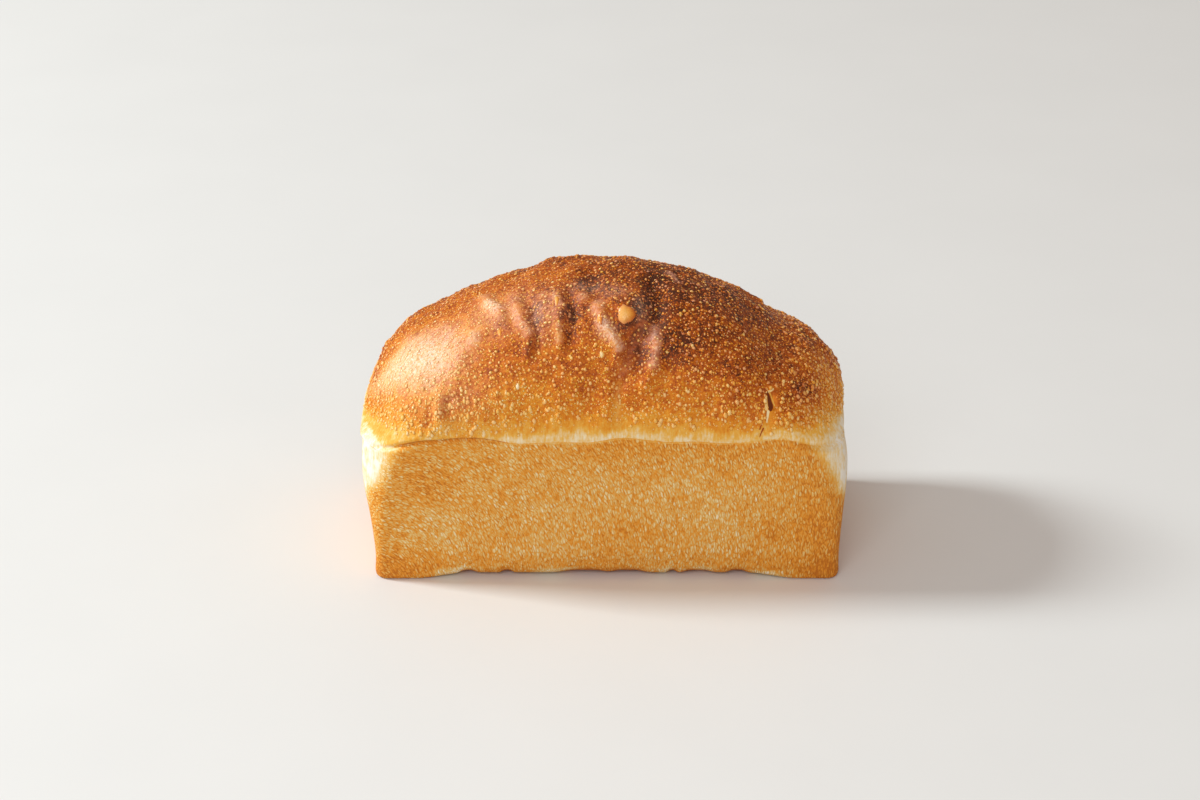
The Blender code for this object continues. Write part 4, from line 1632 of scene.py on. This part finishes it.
@dataclass(frozen=True)
class BlisterFinish:
    """The thin, glossy skin of the blisters, in the crust's own colours, with painted sheen and highlights
    tinted pale cream.
    """

    crust: CrustFinish
    name: str = "blister_skin"
    roughness: float = 0.22
    specular: float = 0.42
    tone_spread: float = 0.20
    highlight_share: float = 0.60
    highlight_colour: tuple = (0.97, 0.79, 0.55, 1.0)

    def make(self) -> bpy.types.Material:
        """Lay out the nodes.

        Returns:
            The material.
        """
        sheet = NodeSheet(self.name)
        grain = sheet.noise(sheet.place(1 / MM), 2.4, 2.0)
        level = sheet.attribute("baked") + (grain - 0.5) * self.tone_spread
        # The painted sheen and highlights tint the blisters pale cream
        painted_highlight = sheet.attribute("sheen") * self.highlight_share
        colour = painted_highlight.tint(sheet.ramp(level, self.crust.stops), self.highlight_colour)
        bump = sheet.read("Bump", {"Height": grain, "Strength": 0.25, "Distance": 0.0004})
        return sheet.finish({"Base Color": colour, "Roughness": self.roughness, "Normal": bump,
                             "Specular IOR Level": self.specular, "IOR": CRUST_IOR})


@dataclass(frozen=True)
class Softbox:
    """A rectangular light: its place and size in metres, its power in watts and its colour."""

    name: str
    place: tuple
    size: tuple
    power: float
    colour: tuple
    aim: tuple = (0.0, 0.0, 0.06)

    def build(self) -> None:
        """Put up the light and turn it to the point that it is aimed at."""
        data = bpy.data.lights.new(self.name, "AREA")
        data.shape = "RECTANGLE"
        data.size, data.size_y = self.size
        data.energy, data.color = self.power, self.colour
        light = bpy.data.objects.new(self.name, data)
        light.location = self.place
        way = np.array(self.place) - np.array(self.aim)
        way = way / np.linalg.norm(way)
        light.rotation_euler = (math.acos(way[2]), 0.0, math.atan2(way[0], -way[1]))
        bpy.context.scene.collection.objects.link(light)


@dataclass(frozen=True)
class Studio:
    """A pale floor, a soft key light from the left, fill from the front and the camera."""

    image_width: float = 1200.0
    focal_pixels: float = 2833.0
    sensor: float = 36.0
    elevation: float = 27.5
    distance: float = 1.223
    target: tuple = (-0.002, 0.0, 0.0634)
    floor_half: float = 4.0
    floor_colour: tuple = (0.81, 0.81, 0.80)
    floor_darker: float = 0.96
    sky: tuple = (1.0, 0.87, 0.78)
    sky_strength: float = 0.42
    softboxes: tuple = (
        Softbox("key", (-2.45, 0.30, 1.80), (0.60, 0.75), 80.0, (0.91, 0.985, 1.0)),
        Softbox("front_fill", (-0.35, -1.70, 1.34), (1.3, 1.0), 13.6, (0.96, 0.98, 1.0)),
    )

    def camera(self) -> None:
        """Put the camera at the photograph's angle, looking at the target down its elevation."""
        lift = math.radians(self.elevation)
        data = bpy.data.cameras.new("camera")
        data.sensor_width = self.sensor
        data.lens = self.focal_pixels / self.image_width * self.sensor
        camera = bpy.data.objects.new("camera", data)
        camera.location = (
            self.target[0],
            self.target[1] - math.cos(lift) * self.distance,
            self.target[2] + math.sin(lift) * self.distance)
        camera.rotation_euler = (math.pi / 2 - lift, 0.0, 0.0)
        bpy.context.scene.collection.objects.link(camera)
        bpy.context.scene.camera = camera

    def floor(self) -> None:
        """A pale, matt floor with a faint unevenness of tone."""
        corners = self.floor_half * np.array([[-1, -1, 0], [1, -1, 0], [1, 1, 0], [-1, 1, 0]])
        piece = mesh_from("floor", corners, np.array([[0, 1, 2, 3]]))
        sheet = NodeSheet("pale_floor")
        darker = tuple(self.floor_darker * c for c in self.floor_colour)
        colour = sheet.noise(sheet.place(1.0), 14.0, 4.0).tint((*self.floor_colour, 1), (*darker, 1))
        piece.data.materials.append(sheet.finish({"Base Color": colour, "Roughness": 0.7}))

    def light(self) -> None:
        """Key from the left and a little behind, a broad fill from the front left, and a soft sky."""
        for softbox in self.softboxes:
            softbox.build()
        world = bpy.data.worlds.new("studio")
        world.use_nodes = True
        background = world.node_tree.nodes["Background"]
        background.inputs["Color"].default_value = (*self.sky, 1.0)
        background.inputs["Strength"].default_value = self.sky_strength
        bpy.context.scene.world = world
        bpy.context.scene.view_settings.view_transform = "Standard"

    def build(self) -> None:
        """Set up camera, floor and light."""
        self.camera()
        self.floor()
        self.light()


def main() -> None:
    """Build the loaf and the studio, and report each piece."""
    logging.basicConfig(level=logging.INFO, format="%(name)s %(message)s")
    Studio().build()
    skin = LoafSkin(LoafForm())
    finish = CrustFinish()
    skin.build().data.materials.append(finish.make())
    blister_skin = BlisterFinish(finish).make()
    for blisters in (
        Blisters("blisters", cell=0.00212, least=0.00032, most=0.00092, share=0.80, seed=7),
        Blisters("small_blisters", cell=0.0013, least=0.00020, most=0.00034, share=0.5, seed=17, sides=5,
                 profile=((1.0, 0.0),)),
        LargeBlisters(),
    ):
        blisters.build(skin).data.materials.append(blister_skin)


if __name__ == "__main__":
    main()
